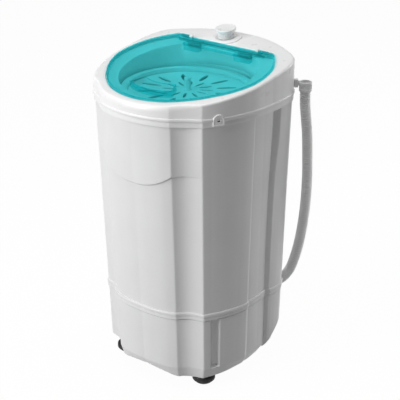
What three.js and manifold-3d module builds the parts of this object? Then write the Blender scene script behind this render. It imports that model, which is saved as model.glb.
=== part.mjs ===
// Laundry spin dryer, in millimetres, +Z up, front towards -Y, floor at z = 0.
// Plan angles are in degrees from the front, positive towards the right-hand side (+X).
import * as THREE from "three";
import { mergeVertices } from "three/addons/utils/BufferGeometryUtils.js";
import Module from "manifold-3d";

const wasm = await Module();
wasm.setup();

// ---------------------------------------------------------------- driving sizes
const seatGap = 0.3;
const shellFit = 0.4;
const shaftGap = 0.3;

// Outer body.
// The outlines are rows of [plan angle, size], the same on both sides; draft is mm per mm of height.
const bodyOutline = [
  [0, 154.5], [12, 156], [22, 158.3], [29, 159.1], [48.2, 165], [54, 162.5], [60, 161], [67, 160],
  [76, 159], [86, 159], [98, 161.5], [104, 164.5], [111, 170.5], [116, 177.5], [122, 184.6],
  [128, 187], [134, 183.5], [140, 178.5], [146, 175], [153, 171.1], [160, 164.2], [166, 159.6],
  [180, 155],
];
const bodyDraft = [[0, 0.05], [29, 0.044], [49, 0.036], [90, 0.03], [131, 0.028], [180, 0.0307]];
const creaseTurnTop = -0.8;
const leanHeight = 472;
const creaseTurn = 2.45;
const creaseTurnEnd = 77;
const shellWall = 3;
const baseEdgeOutline = [
  [0, 31.5], [8, 30.6], [14, 29], [20, 26.5], [25, 23], [30, 21.2], [40, 20.3], [50, 22.5], [60, 24],
  [70, 26.6], [80, 29.5], [90, 30.5], [100, 32], [105, 33.5], [112, 38], [180, 38],
];
const bevelLevel = 43.8;
const bevelInset = 5;
const cornerBevelRise = [
  [0, 0], [109, 0], [111.5, 4], [122, 31], [128, 34], [140, 20], [153, 0], [180, 0],
];
const cornerBevelInset = [
  [0, 0], [109, 0], [111.5, 1.5], [122, 7], [128, 7.5], [140, 4], [153, 0], [180, 0],
];
const cornerPlateEase = [[0, 0], [100, 0], [105, 1.5], [111, 2.5], [153, 2.5], [166, 0], [180, 0]];
const bevelLeast = 1.5;
const leftNotchRise = 16;
const beltHeight = 157;
const beltRise = 4.5;
const beltDrop = 9;
const beadDrop = 3;
const bandProud = 1.2;
const beltProud = 2.3;
const casingHeight = 381;
const skirtOverlap = 17;
const coveStart = 29;
const coveEnd = 48.2;
const coveDepth = 8;
const panelStart = 86;
const panelDepth = 5;
const panelEntry = 1.5;
const fluteStart = 104.7;
const fluteAngle = 107.5;
const fluteEnd = 111.5;
const fluteDepthTop = 12;
const fluteDepthBottom = 7;
const fluteLean = [[0, 0], [panelStart, 0], [fluteStart, 5.2], [fluteEnd, 1.6], [122, 0], [180, 0]];
const grooveStart = 53.5;
const grooveEnd = 61.2;
const grooveDepth = 5;
const grooveStop = 0.5;
const grooveRunOut = 2;
const smileHeight = 250;
const smileRise = 24;
const smileStep = 3.2;

// Top cover, its sloping deck and the lid.
const coverOutline = [
  [0, 164], [29, 165], [48.2, 167.8], [58, 166], [68, 164.5], [80, 164], [92, 165.5], [100, 168],
  [108, 173.5], [116, 181], [122, 187], [128, 189.3], [134, 186.3], [140, 181.5], [146, 178.5],
  [155, 175], [166, 171.5], [180, 169],
];
const coverCoveShare = 0.5;
const coverWall = 3;
const beadProud = 2;
const beadHeight = 6;
const beadDropBelowLedge = 3.3;
const skirtInset = 5;
const skirtLeast = 1.4;
const ledgeHeight = 3;
const ledgeInset = 4;
const deckTilt = 8.2;
const deckFillet = 5;
const lidRise = 45.3;
const lidOutlineRows = [
  [0, 148], [23, 147], [40, 144.8], [56, 144.8], [73, 149.5], [85, 153], [92, 153.5], [110, 154.5],
  [128, 154], [180, 154],
];
const lidPanel = 2.6;
const lidRim = 2;
const lidRimDepth = 8.4;
const lidProud = 3;
const lidRearEdge = 109;
const lidNotchEdge = 103.8;
const lidNotchHalf = 80;
const lidGap = 1.8;
const recessRearEdge = 111.2;
const recessDepth = 10;
const recessFloor = 2.6;
const mouthRadius = 124.5;
const mouthFlatEdge = 91.5;
const mouthWallRadius = 125;
const mouthDepth = 17.7;
const funnelKneeRise = 3;
const hingeSink = 1.2;
const hingeSetback = 106;
const earDepth = 7;
const earRise = 5.2;
const earClearance = 2;
const pinRadius = 1.5;
const pinLength = 27;
const pinStart = 73;
const lidPinOffset = 3.5;
const earSlotDepth = 20;
const knuckleRadius = 3;
const knuckleLength = 18;
const scoopInner = 82;
const scoopOuter = 113;
const scoopHalfAngle = 25;
const scoopDepth = 13;
const scoopWall = 2;
const hingeBlockWidth = 35;
const hingeBlockDepth = 11;
const hingeBlockDrop = 14;
const hingeBlockOffset = 58;

// Cover screws and their tabs on the skirt.
const tabAngles = { front_left: -56, front_right: 56, rear_left: -150, rear_right: 150 };
const tabWidth = 22.4;
const tabHeight = 21;
const tabProud = 3.2;
const screwHoleRadius = 3.4;
const screwHeadRadius = 2.9;
const screwHeadHeight = 2.4;
const screwShankRadius = 1.9;

// Timer knob on the rear of the deck.
const knobOffset = -16;
const knobSetback = 134;
const bezelRadius = 28.5;
const bezelHeight = 2.6;
const knobBaseRadius = 16;
const knobTopRadius = 19.5;
const knobHeight = 17.5;
const knobTopHeight = 4.5;
const timerShaftRadius = 3;
const timerBodySize = 40;
const timerBodyHeight = 26;
const switchOffset = 46;
const switchSetback = 141;
const switchWidth = 28;
const switchDepth = 12;
const switchHeight = 20;
const leverShare = 0.6;
const leverThickness = 2;
const leverDrop = 4;

// Feet and base plate.
const footProfile = [[8, 0], [12, 2.1], [16, 4.8], [19, 7.8], [21.4, 11.1], [21, 18], [15.5, 22.5]];
const footStemRadius = 13;
const footOffset = 93.8;
const footFront = 71;
const footRear = 80;
const footRearOffset = 85;
const basePlateHeight = 44;
const basePlateThickness = 3;

// Tub.
const tubRadius = 128;
const tubWall = 2.5;
const tubDrop = 19;
const tubFloorHole = 34;
const tubFlangeHeight = 4;

// Motor, springs and brake.
const motorRadius = 56;
const motorBottom = 60;
const motorHeight = 52;
const bracketRadius = 62;
const bracketArm = 104;
const bracketArmWidth = 30;
const bracketThickness = 3;
const springRadius = 12;
const springCircle = 90;
const springCupHeight = 5;
const shaftRadius = 6;
const drumRadius = 42;
const drumHeight = 10;
const drumClearance = 4;
const sleeveRadius = 12;
const sleeveHeight = 23;
const sleeveClearance = 3;
const bellowsWall = 2;
const brakePadLength = 18;
const brakePadGap = 2.4;
const brakePinRadius = 3;
const brakeEyeRadius = 6;
const brakeReach = 12;
const brakeEyeSetback = 6;
const brakeArmWidth = 7;
const brakeArmLength = 34;
const brakeArmSetback = -8;
const brakePadSetback = -13;
const brakeThickness = 5;
const brakeClearance = 2;
const motorBore = 12;

// Basket and pressing disc.
const basketRadius = 118;
const basketWall = 1.7;
const basketClearance = 9.5;
const basketHubRise = 14;
const basketHubRadius = 28;
const ringOuter = 120;
const ringInner = 108;
const ringHeight = 21;
const ringTopDrop = 7;
const ringLip = 6;
const ringLipDrop = 11.3;
const discRadius = 106.4;
const discThickness = 3;
const petalCount = 12;
const petalInner = 20;
const petalMiddle = 52;
const petalOuter = 92;
const petalWidth = 9;
const gripRadius = 6.5;
const gripHeight = 23;
const hubHeight = 25;
const hubTopRadius = 14;
const hubNutRadius = 10;
const hubNutHeight = 8;

// Drain hose, its elbow at the rear and its clip on the cover.
const hoseRadius = 10.8;
const hoseValley = 9.2;
const hoseBore = 7.5;
const ribCount = 85;
const boreEvery = 5;
const elbowOffset = 0;
const elbowHeight = 106;
const elbowReach = 160;
const elbowRadius = 8.6;
const elbowFlange = 17;
const elbowFlangeThickness = 3;
const elbowBend = 12;
const elbowSpigot = 22.4;
const elbowWall = 2;
const cuffRadius = 11.6;
const cuffHeight = 22;
const clipReach = 7;
const clipWidth = 9;
const lugWidth = 5;
const lugHeight = 9;

// Small parts in the base.
const capacitorRadius = 18;
const capacitorHeight = 50;
const capacitorSetback = 98;
const strapHeight = 9;
const strapThickness = 1.5;
const strapTabWidth = 12;
const strapTabLength = 14;
const glandOffset = -60;
const glandHeight = 84;
const glandRadius = 6;
const glandCap = 10;
const glandNeck = 8;
const glandCapHeight = 7;
const glandBore = 3.5;

// ---------------------------------------------------------------- levels that follow
const casingTop = beltHeight + casingHeight;
const skirtBottom = casingTop - skirtOverlap;
const ledgeBottom = casingTop + seatGap;
const ledgeTop = ledgeBottom + ledgeHeight;
const beadMiddle = ledgeTop - beadHeight / 2 - beadDropBelowLedge;
const lidHeight = casingTop + lidRise;
const mouthWallBottom = casingTop - mouthDepth;
const tubBottom = beltHeight - tubDrop;
const tubTop = mouthWallBottom - seatGap;
const basketBottom = tubBottom + tubWall + basketClearance;
const ringTop = casingTop + ringTopDrop;
const ringBottom = ringTop - ringHeight;
const discBottom = ringTop - ringLipDrop + seatGap;
const discTop = discBottom + discThickness;
const motorTop = motorBottom + motorHeight;
const bracketTop = motorTop + seatGap + bracketThickness;
const drumBottom = bracketTop + drumClearance;
const plateTop = basePlateHeight + basePlateThickness;
const springBottom = plateTop + seatGap + springCupHeight;
const hubSeat = basketBottom + basketHubRise + basketWall + seatGap;
const shaftTop = hubSeat + hubHeight + hubNutHeight - 1;
const deckTop = -lidProud;
const deckUnder = -recessDepth - recessFloor;

// ---------------------------------------------------------------- helpers
const radians = (degrees) => (degrees * Math.PI) / 180;
const degreesOf = (angle) => (angle * 180) / Math.PI;

function planPoint(radius, angle, height) {
  const turn = radians(angle);
  return new THREE.Vector3(radius * Math.sin(turn), -radius * Math.cos(turn), height);
}

function positionsOnly(geometry) {
  const bare = geometry.clone();
  for (const name of Object.keys(bare.attributes)) {
    if (name !== "position") bare.deleteAttribute(name);
  }
  return mergeVertices(bare, 1e-4);
}

// Turns every face outwards, whichever way its outline was drawn.
function facingOut(geometry) {
  const place = geometry.attributes.position;
  const index = geometry.index.array;
  const a = new THREE.Vector3();
  const b = new THREE.Vector3();
  const c = new THREE.Vector3();
  let volume = 0;
  for (let i = 0; i < index.length; i += 3) {
    a.fromBufferAttribute(place, index[i]);
    b.fromBufferAttribute(place, index[i + 1]);
    c.fromBufferAttribute(place, index[i + 2]);
    volume += a.dot(b.cross(c));
  }
  if (volume < 0) {
    for (let i = 0; i < index.length; i += 3) {
      const first = index[i];
      index[i] = index[i + 1];
      index[i + 1] = first;
    }
  }
  return geometry;
}

function solidOf(geometry) {
  const merged = facingOut(positionsOnly(geometry));
  const vertProperties = new Float32Array(merged.attributes.position.array);
  const triVerts = new Uint32Array(merged.index.array);
  return new wasm.Manifold(new wasm.Mesh({ numProp: 3, vertProperties, triVerts }));
}

function geometryOf(solid) {
  const mesh = solid.getMesh();
  const geometry = new THREE.BufferGeometry();
  const count = mesh.vertProperties.length / mesh.numProp;
  const place = new Float32Array(count * 3);
  for (let i = 0; i < count; i += 1) {
    for (let k = 0; k < 3; k += 1) place[i * 3 + k] = mesh.vertProperties[i * mesh.numProp + k];
  }
  geometry.setAttribute("position", new THREE.BufferAttribute(place, 3));
  geometry.setIndex(Array.from(mesh.triVerts));
  return geometry;
}

function join(first, ...others) {
  return geometryOf(others.reduce((sum, other) => sum.add(solidOf(other)), solidOf(first)));
}

function cut(first, ...others) {
  return geometryOf(others.reduce((rest, other) => rest.subtract(solidOf(other)), solidOf(first)));
}

// A ring-shaped skin through closed loops of points, the last loop joined to the first.
function loftRing(loops) {
  const count = loops[0].length;
  const place = loops.flat().flatMap((point) => [point.x, point.y, point.z]);
  const index = [];
  for (let row = 0; row < loops.length; row += 1) {
    const next = (row + 1) % loops.length;
    for (let i = 0; i < count; i += 1) {
      const j = (i + 1) % count;
      index.push(row * count + i, row * count + j, next * count + j);
      index.push(row * count + i, next * count + j, next * count + i);
    }
  }
  const geometry = new THREE.BufferGeometry();
  geometry.setAttribute("position", new THREE.Float32BufferAttribute(place, 3));
  geometry.setIndex(index);
  return facingOut(geometry);
}

// A turned piece about +Z; the outline of [radius, height] pairs closes on itself or on the axis.
function turned(outline, segments = 24) {
  const points = outline.map(([radius, height]) => new THREE.Vector2(radius, height));
  const closes = outline[0][0] === 0 && outline[outline.length - 1][0] === 0;
  if (!closes) points.push(points[0].clone());
  const geometry = new THREE.LatheGeometry(points, segments);
  geometry.rotateX(Math.PI / 2);
  return facingOut(positionsOnly(geometry));
}

function disc(radius, bottom, top, segments = 24) {
  return turned([[0, bottom], [radius, bottom], [radius, top], [0, top]], segments);
}

function sleeve(inner, outer, bottom, top, segments = 24) {
  return turned([[inner, bottom], [outer, bottom], [outer, top], [inner, top]], segments);
}

function block(width, depth, height, x, y, z) {
  const geometry = new THREE.BoxGeometry(width, depth, height);
  geometry.translate(x, y, z);
  return geometry;
}

function slab(outline, bottom, height, holes = []) {
  const shape = new THREE.Shape(outline);
  for (const hole of holes) shape.holes.push(new THREE.Path(hole));
  const geometry = new THREE.ExtrudeGeometry(shape, { depth: height, bevelEnabled: false });
  geometry.translate(0, 0, bottom);
  return facingOut(positionsOnly(geometry));
}

function ringOf(radius, count) {
  return Array.from({ length: count }, (_, i) => {
    const point = planPoint(radius, (360 * i) / count, 0);
    return new THREE.Vector2(point.x, point.y);
  });
}

function rodAlongX(radius, length, x, y, z, segments = 12) {
  const geometry = new THREE.CylinderGeometry(radius, radius, length, segments);
  geometry.rotateZ(Math.PI / 2);
  geometry.translate(x, y, z);
  return geometry;
}

// ---------------------------------------------------------------- outline of the body
const lidCornerRadius = lidOutlineRows.at(-1)[1];
const lidCornerAngle = 180 - degreesOf(Math.acos(lidRearEdge / lidCornerRadius));
const notchAngleRear = 180 - degreesOf(Math.atan2(lidNotchHalf, lidRearEdge));
const notchAngleFront = 180 - degreesOf(Math.atan2(lidNotchHalf - 5, lidNotchEdge));
const mouthCornerAngle = 180 - degreesOf(Math.acos(mouthFlatEdge / mouthRadius));

function halfAngles() {
  const smooth = [0, 12, 22, 67, 77, 98, 122, 128];
  const rear = [153, 166, 180];
  const cove = [0, 0.25, 0.5, 0.75, 1].map((share) => coveStart + share * (coveEnd - coveStart));
  const groove = [grooveStart, (grooveStart + grooveEnd) / 2, grooveEnd];
  const panel = [panelStart, panelStart + panelEntry];
  const flute = [fluteStart, fluteAngle, fluteEnd];
  const lid = [lidCornerAngle, notchAngleRear, notchAngleFront, mouthCornerAngle];
  const all = [...smooth, ...rear, ...cove, ...groove, ...panel, ...flute, ...lid];
  const sorted = all.sort((a, b) => a - b);
  return sorted.filter((angle, i) => i === 0 || angle - sorted[i - 1] > 0.15);
}

const rightAngles = halfAngles();
const leftAngles = rightAngles.slice(1, -1).reverse().map((angle) => -angle);
const planAngles = [...rightAngles, ...leftAngles];

// Value of an outline's rows at a plan angle, straight between rows.
function alongRows(rows, angle) {
  const side = Math.min(Math.abs(angle), 180);
  const next = Math.max(1, rows.findIndex(([limit]) => limit >= side));
  const [from, low] = rows[next - 1];
  const [to, high] = rows[next];
  return low + ((high - low) * (side - from)) / (to - from);
}

// The creases and the flutes lean: a point's plan angle turns a little with its height.
function leaning(angle, height) {
  const side = Math.abs(angle);
  const rising = Math.min(1, side / coveStart);
  const fading = Math.min(1, Math.max(0, (creaseTurnEnd - side) / (creaseTurnEnd - coveEnd)));
  const share = (skirtBottom - height) / leanHeight;
  const turn = (creaseTurnTop + creaseTurn * share) * Math.min(rising, fading);
  return angle + Math.sign(angle) * (turn + alongRows(fluteLean, side) * share);
}

function smileLevel(angle) {
  const share = Math.min(Math.abs(angle), coveStart) / coveStart;
  return beltHeight + smileHeight + smileRise * share ** 2.4;
}

function smileProud(angle) {
  const side = Math.abs(angle);
  if (side <= coveStart) return smileStep;
  if (side >= coveEnd) return 0;
  return (smileStep * (coveEnd - side)) / (coveEnd - coveStart);
}

function bodyAt(angle, height) {
  const side = Math.abs(angle);
  let radius = alongRows(bodyOutline, side) - alongRows(bodyDraft, side) * (skirtBottom - height);
  if (side > coveStart && side < coveEnd) {
    const across = (2 * side - coveStart - coveEnd) / (coveEnd - coveStart);
    radius -= coveDepth * (1 - across ** 2);
  }
  if (side > panelStart && side <= fluteStart) {
    radius -= panelDepth * Math.min(1, (side - panelStart) / panelEntry);
  }
  if (side > fluteStart && side < fluteEnd) {
    const share = (height - bevelLevel) / (casingTop - bevelLevel);
    const depth = fluteDepthBottom + (fluteDepthTop - fluteDepthBottom) * share;
    radius -= alongRows([[fluteStart, panelDepth], [fluteAngle, depth], [fluteEnd, 0]], side);
  }
  return radius;
}

function grooveCut(angle) {
  const side = Math.abs(angle);
  const middle = (grooveStart + grooveEnd) / 2;
  return Math.abs(side - middle) < 0.01 ? grooveDepth : 0;
}

function bodyLoop(levelOf, offsetOf = () => 0) {
  return planAngles.map((angle) => {
    const level = typeof levelOf === "number" ? levelOf : levelOf(angle);
    return planPoint(bodyAt(angle, level) + offsetOf(angle), leaning(angle, level), level);
  });
}

const tubFlange = bodyAt(panelStart + panelEntry, tubTop) - shellWall - 2 * shellFit;

// ---------------------------------------------------------------- lower and upper shells
function baseEdge(angle) {
  const fromNotch = (angle + (coveStart + grooveEnd) / 2) / ((grooveEnd - coveStart) / 2);
  const notch = Math.max(0, 1 - fromNotch ** 2);
  return alongRows(baseEdgeOutline, angle) + leftNotchRise * notch;
}

function bevelLine(angle) {
  return Math.max(bevelLevel, baseEdge(angle) + bevelLeast) + alongRows(cornerBevelRise, angle);
}

const insetAt = (angle) => bevelInset + alongRows(cornerBevelInset, angle);

function baseShell() {
  const top = beltHeight - seatGap;
  const grooveTop = beltHeight - beltDrop - grooveStop;
  const loops = [
    bodyLoop(baseEdge, (angle) => -insetAt(angle)),
    bodyLoop(bevelLine),
    bodyLoop((angle) => bevelLine(angle) + grooveRunOut, (angle) => -grooveCut(angle)),
    bodyLoop(grooveTop - grooveRunOut, (angle) => -grooveCut(angle)),
    bodyLoop(grooveTop),
    bodyLoop(top),
    bodyLoop(top, (angle) => -shellWall - grooveCut(angle)),
    bodyLoop(bevelLine, (angle) => -shellWall - grooveCut(angle)),
    bodyLoop(baseEdge, (angle) => -insetAt(angle) - shellWall - grooveCut(angle)),
  ];
  return cut(loftRing(loops), elbowHole(), glandHole());
}

function casingShell() {
  const beltTop = beltHeight + beltRise;
  const bandBottom = beltHeight - beltDrop;
  const loops = [
    bodyLoop(bandBottom, () => shellFit),
    bodyLoop(beltHeight, () => shellFit),
    bodyLoop(beltHeight, () => -shellWall),
    bodyLoop(casingTop, () => -shellWall),
    bodyLoop(casingTop),
    bodyLoop(skirtBottom),
    bodyLoop(smileLevel, smileProud),
    bodyLoop((angle) => smileLevel(angle) - smileStep),
    bodyLoop(beltTop),
    bodyLoop(beltTop - 1, () => beltProud),
    bodyLoop(beltHeight - beadDrop, () => beltProud),
    bodyLoop(beltHeight - beadDrop - 1, () => bandProud),
    bodyLoop(bandBottom, () => bandProud),
  ];
  return cut(loftRing(loops), ...Object.values(tabAngles).map(screwPilot));
}

function screwPilot(angle) {
  const level = skirtBottom + tabHeight / 2;
  const [from, to] = [tubFlange, coverAt(angle) + 2 * tabProud];
  return radialRod(screwShankRadius + seatGap, from, to, angle, level, 8);
}

// A rod that points away from the axis at a plan angle.
function radialRod(radius, from, to, angle, level, segments = 12) {
  const geometry = new THREE.CylinderGeometry(radius, radius, to - from, segments);
  geometry.translate(0, -(from + to) / 2, 0);
  geometry.rotateZ(radians(angle));
  geometry.translate(0, 0, level);
  return geometry;
}

// ---------------------------------------------------------------- deck frame
const tiltCos = Math.cos(radians(deckTilt));
const tiltSin = Math.sin(radians(deckTilt));

function deckPoint(x, setback, rise) {
  const y = setback * tiltCos - rise * tiltSin;
  return new THREE.Vector3(x, y, lidHeight + setback * tiltSin + rise * tiltCos);
}

function deckLevel(y, rise) {
  return lidHeight + (y * tiltSin + rise) / tiltCos;
}

// Outline round the lid: a circle with a straight rear edge, notched between the hinges.
function lidOutline(angle, grow, rearEdge, notchEdge) {
  const side = Math.abs(angle);
  const round = alongRows(lidOutlineRows, side) + grow;
  if (side < 90) return round;
  const edge = side > notchAngleRear + 0.01 ? notchEdge : rearEdge;
  return Math.min(round, edge / Math.abs(Math.cos(radians(side))));
}

function mouthOutline(angle) {
  const side = Math.abs(angle);
  if (side < 90) return mouthRadius;
  return Math.min(mouthRadius, mouthFlatEdge / Math.abs(Math.cos(radians(side))));
}

function deckLoop(radiusOf, rise) {
  return planAngles.map((angle) => {
    const radius = radiusOf(angle);
    const turn = radians(angle);
    return deckPoint(radius * Math.sin(turn), -radius * Math.cos(turn), rise);
  });
}

const circleLoop = (radius, level) => planAngles.map((angle) => planPoint(radius, angle, level));
const coverAt = (angle) => alongRows(coverOutline, angle);

function coverLoop(levelOf, offset) {
  return planAngles.map((angle) => {
    const radius = coverAt(angle) - coveDip(angle) + offset;
    const leant = leaning(angle, casingTop);
    const y = -radius * Math.cos(radians(leant));
    const level = typeof levelOf === "number" ? levelOf : levelOf(y);
    return planPoint(radius, leant, level);
  });
}

// The skirt draws in below the bead, but always stands clear of the casing that it hides.
function skirtLoop(level, inset) {
  return planAngles.map((angle) => {
    const drawn = coverAt(angle) - coveDip(angle) - inset;
    const least = bodyAt(angle, casingTop) + shellFit + skirtLeast;
    return planPoint(Math.max(drawn, least), leaning(angle, level), level);
  });
}

// The casing's concave front corners carry on up the cover.
function coveDip(angle) {
  const side = Math.abs(angle);
  if (side <= coveStart || side >= coveEnd) return 0;
  const across = (2 * side - coveStart - coveEnd) / (coveEnd - coveStart);
  return coveDepth * coverCoveShare * (1 - across ** 2);
}

// ---------------------------------------------------------------- top cover
function topCover() {
  const recess = (angle) => lidOutline(angle, lidGap, recessRearEdge, lidNotchEdge + lidGap);
  const funnelKnee = ringTop + funnelKneeRise;
  const loops = [
    bodyLoop(skirtBottom, () => shellFit),
    bodyLoop(ledgeBottom, () => shellFit),
    bodyLoop(ledgeBottom, () => -ledgeInset),
    bodyLoop(ledgeTop, () => -ledgeInset),
    coverLoop(ledgeTop, -coverWall),
    coverLoop((y) => deckLevel(y, deckTop) - coverWall, -deckFillet),
    deckLoop((angle) => recess(angle) + coverWall, deckTop - coverWall),
    deckLoop((angle) => recess(angle) + coverWall, deckUnder),
    deckLoop((angle) => mouthOutline(angle) + coverWall, deckUnder),
    circleLoop(mouthWallRadius + coverWall, funnelKnee),
    circleLoop(mouthWallRadius + coverWall, mouthWallBottom),
    circleLoop(mouthWallRadius, mouthWallBottom),
    circleLoop(mouthWallRadius, funnelKnee),
    deckLoop(mouthOutline, -recessDepth),
    deckLoop(recess, -recessDepth),
    deckLoop(recess, deckTop),
    coverLoop((y) => deckLevel(y, deckTop), -deckFillet),
    coverLoop((y) => deckLevel(y, deckTop) - 1.4, -2),
    coverLoop((y) => deckLevel(y, deckTop) - 5, 0),
    coverLoop(beadMiddle + beadHeight / 2, 0),
    coverLoop(beadMiddle, beadProud),
    skirtLoop(beadMiddle - beadHeight / 2, 1),
    skirtLoop(skirtBottom, skirtInset),
  ];
  const angles = Object.values(tabAngles);
  const plug = casingPlug();
  const tabs = angles.map((angle) => cut(screwTab(angle), plug));
  const withTabs = join(loftRing(loops), ...tabs, hingeEar(1), hingeEar(-1));
  const holes = angles.flatMap((angle) => [screwPilot(angle), screwWell(angle)]);
  return cut(withTabs, ...holes, pinBore(1), pinBore(-1), timerHole());
}

// Ear on the deck that carries the inner end of a hinge pin.
function hingeEar(side) {
  const width = lidNotchHalf - pinStart;
  const height = earRise + 1;
  const middle = side * (pinStart - 0.7 + width / 2);
  const ear = block(width, earDepth, height, middle, hingeSetback, deckTop - 1 + height / 2);
  return inDeckFrame(ear);
}

// Outline of the casing with its clearance, as a plug that keeps the tabs clear of it.
const plugMargin = 0.3;
function casingPlug() {
  const outline = planAngles.map((angle) => {
    const radius = bodyAt(angle, casingTop) + shellFit + plugMargin;
    const point = planPoint(radius, leaning(angle, casingTop), 0);
    return new THREE.Vector2(point.x, point.y);
  });
  return slab(outline, skirtBottom - 5, skirtOverlap + 10);
}

// Half-round tab: flat at the skirt's edge, round above.
function screwTab(angle) {
  const outer = coverAt(angle) + tabProud;
  const half = tabWidth / 2;
  const shape = new THREE.Shape();
  shape.moveTo(-half, 0);
  shape.lineTo(half, 0);
  shape.lineTo(half, tabHeight - half);
  shape.absarc(0, tabHeight - half, half, 0, Math.PI, false);
  shape.closePath();
  const depth = coverWall + tabProud + 4;
  const settings = { depth, bevelEnabled: false, curveSegments: 5 };
  const geometry = new THREE.ExtrudeGeometry(shape, settings);
  geometry.rotateX(Math.PI / 2);
  geometry.translate(0, -outer + depth, skirtBottom + seatGap);
  geometry.rotateZ(radians(angle));
  return geometry;
}

function screwWell(angle) {
  const face = coverAt(angle) + tabProud;
  const level = skirtBottom + tabHeight / 2;
  return radialRod(screwHoleRadius, face - screwHeadHeight - 1.2, face + 5, angle, level);
}

function coverScrew(angle) {
  const face = coverAt(angle) + tabProud - 1.2;
  const seat = face - screwHeadHeight + seatGap;
  const level = skirtBottom + tabHeight / 2;
  const tip = bodyAt(angle, level) - shellWall - 5;
  const head = radialRod(screwHeadRadius, seat, face, angle, level);
  const shank = radialRod(screwShankRadius, tip, seat + 0.5, angle, level, 8);
  return join(head, shank);
}

function pinBore(side) {
  const length = pinLength + 2 * shaftGap;
  const middle = side * (pinStart + pinLength / 2);
  const bore = rodAlongX(pinRadius + seatGap, length, middle, hingeSetback, -hingeSink);
  return inDeckFrame(bore);
}

function inDeckFrame(geometry) {
  geometry.rotateX(radians(deckTilt));
  geometry.translate(0, 0, lidHeight);
  return geometry;
}

function timerHole() {
  const geometry = disc(timerShaftRadius + 1, deckUnder * 3, 5, 20);
  geometry.translate(knobOffset, knobSetback, 0);
  return inDeckFrame(geometry);
}

// ---------------------------------------------------------------- lid
function lidPanelSolid() {
  const outline = planAngles.map((angle) => {
    const radius = lidOutline(angle, 0, lidRearEdge, lidNotchEdge);
    const point = planPoint(radius, angle, 0);
    return new THREE.Vector2(point.x, point.y);
  });
  const inner = planAngles.map((angle) => {
    const rear = lidNotchEdge - lidRim;
    const radius = lidOutline(angle, -lidRim, rear, rear);
    const point = planPoint(radius, angle, 0);
    return new THREE.Vector2(point.x, point.y);
  });
  const panel = slab(outline, -lidPanel, lidPanel);
  const rim = slab(outline, -lidRimDepth, lidRimDepth - lidPanel + 0.5, [inner]);
  const scoopShape = scoopOutline(0);
  const scoop = slab(scoopShape, -scoopDepth, scoopDepth - 0.2);
  const hollow = slab(scoopOutline(scoopWall), -scoopDepth + scoopWall, scoopDepth + 2);
  const blocks = [-1, 1].map((side) => {
    const height = hingeBlockDrop + 0.5;
    const middle = mouthFlatEdge - 2 - hingeBlockDepth / 2;
    const rise = -lidPanel - hingeBlockDrop + height / 2;
    return block(hingeBlockWidth, hingeBlockDepth, height, side * hingeBlockOffset, middle, rise);
  });
  const middleOfPin = pinStart + pinLength / 2 + lidPinOffset;
  const knuckles = [-1, 1].map((side) => (
    rodAlongX(knuckleRadius, knuckleLength, side * middleOfPin, hingeSetback, -hingeSink)
  ));
  const bores = [-1, 1].map((side) => (
    rodAlongX(pinRadius + seatGap, 40, side * middleOfPin, hingeSetback, -hingeSink)
  ));
  const earSlots = [-1, 1].map((side) => {
    const width = lidNotchHalf - pinStart + 2;
    const front = hingeSetback - earDepth / 2 - earClearance;
    const middle = side * (lidNotchHalf + seatGap - width / 2);
    return block(width, earSlotDepth, 40, middle, front + earSlotDepth / 2, 0);
  });
  const joined = join(cut(join(panel, rim), ...earSlots), scoop, ...blocks, ...knuckles);
  return cut(joined, hollow, ...bores);
}

function scoopOutline(inset) {
  const steps = 6;
  const half = scoopHalfAngle - degreesOf(inset / scoopOuter);
  const points = [];
  for (let i = 0; i <= steps; i += 1) {
    const point = planPoint(scoopOuter - inset, -half + (2 * half * i) / steps, 0);
    points.push(new THREE.Vector2(point.x, point.y));
  }
  for (let i = steps; i >= 0; i -= 1) {
    const point = planPoint(scoopInner + inset, -half + (2 * half * i) / steps, 0);
    points.push(new THREE.Vector2(point.x, point.y));
  }
  return points;
}

// ---------------------------------------------------------------- timer knob
function timerKnob() {
  const bottom = bezelHeight + 2 * seatGap;
  const top = bottom + knobHeight;
  const neck = top - knobTopHeight;
  const socket = timerShaftRadius + shaftGap;
  return turned([
    [socket, bottom],
    [knobBaseRadius, bottom],
    [knobBaseRadius - 0.8, neck - 1.5],
    [knobTopRadius, neck],
    [knobTopRadius, top - 1],
    [knobTopRadius - 1.5, top],
    [0, top],
    [0, neck],
    [socket, neck],
  ]);
}

function timerBezel() {
  return turned([
    [timerShaftRadius + 1, seatGap],
    [bezelRadius, seatGap],
    [bezelRadius, seatGap + 1],
    [bezelRadius - 2, seatGap + bezelHeight],
    [timerShaftRadius + 1, seatGap + bezelHeight],
  ]);
}

function timerShaft() {
  const neck = bezelHeight + 2 * seatGap + knobHeight - knobTopHeight;
  return disc(timerShaftRadius, -coverWall - 12, neck - seatGap, 16);
}

function timerBody() {
  const top = -coverWall - seatGap;
  const middle = top - timerBodyHeight / 2;
  const body = block(timerBodySize, timerBodySize * 0.75, timerBodyHeight, 0, 2, middle);
  return cut(body, disc(timerShaftRadius + shaftGap, top - 14, top + 5, 16));
}

function switchBody() {
  const top = deckTop - coverWall - seatGap;
  return block(switchWidth, switchDepth, switchHeight, switchOffset, switchSetback, top - switchHeight / 2);
}

function switchLever() {
  const length = switchWidth * 0.8;
  const height = switchHeight * leverShare;
  const middle = deckTop - coverWall - seatGap - leverDrop - height / 2;
  const front = switchSetback - switchDepth / 2 - seatGap - leverThickness / 2;
  return block(length, leverThickness, height, switchOffset, front, middle);
}

// ---------------------------------------------------------------- feet and base plate
function foot() {
  const stemTop = basePlateHeight - seatGap;
  const stemFoot = footProfile.at(-1)[1] + 3;
  return turned([
    [0, 0],
    ...footProfile,
    [footStemRadius, stemFoot],
    [footStemRadius, stemTop],
    [0, stemTop],
  ], 14);
}

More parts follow.
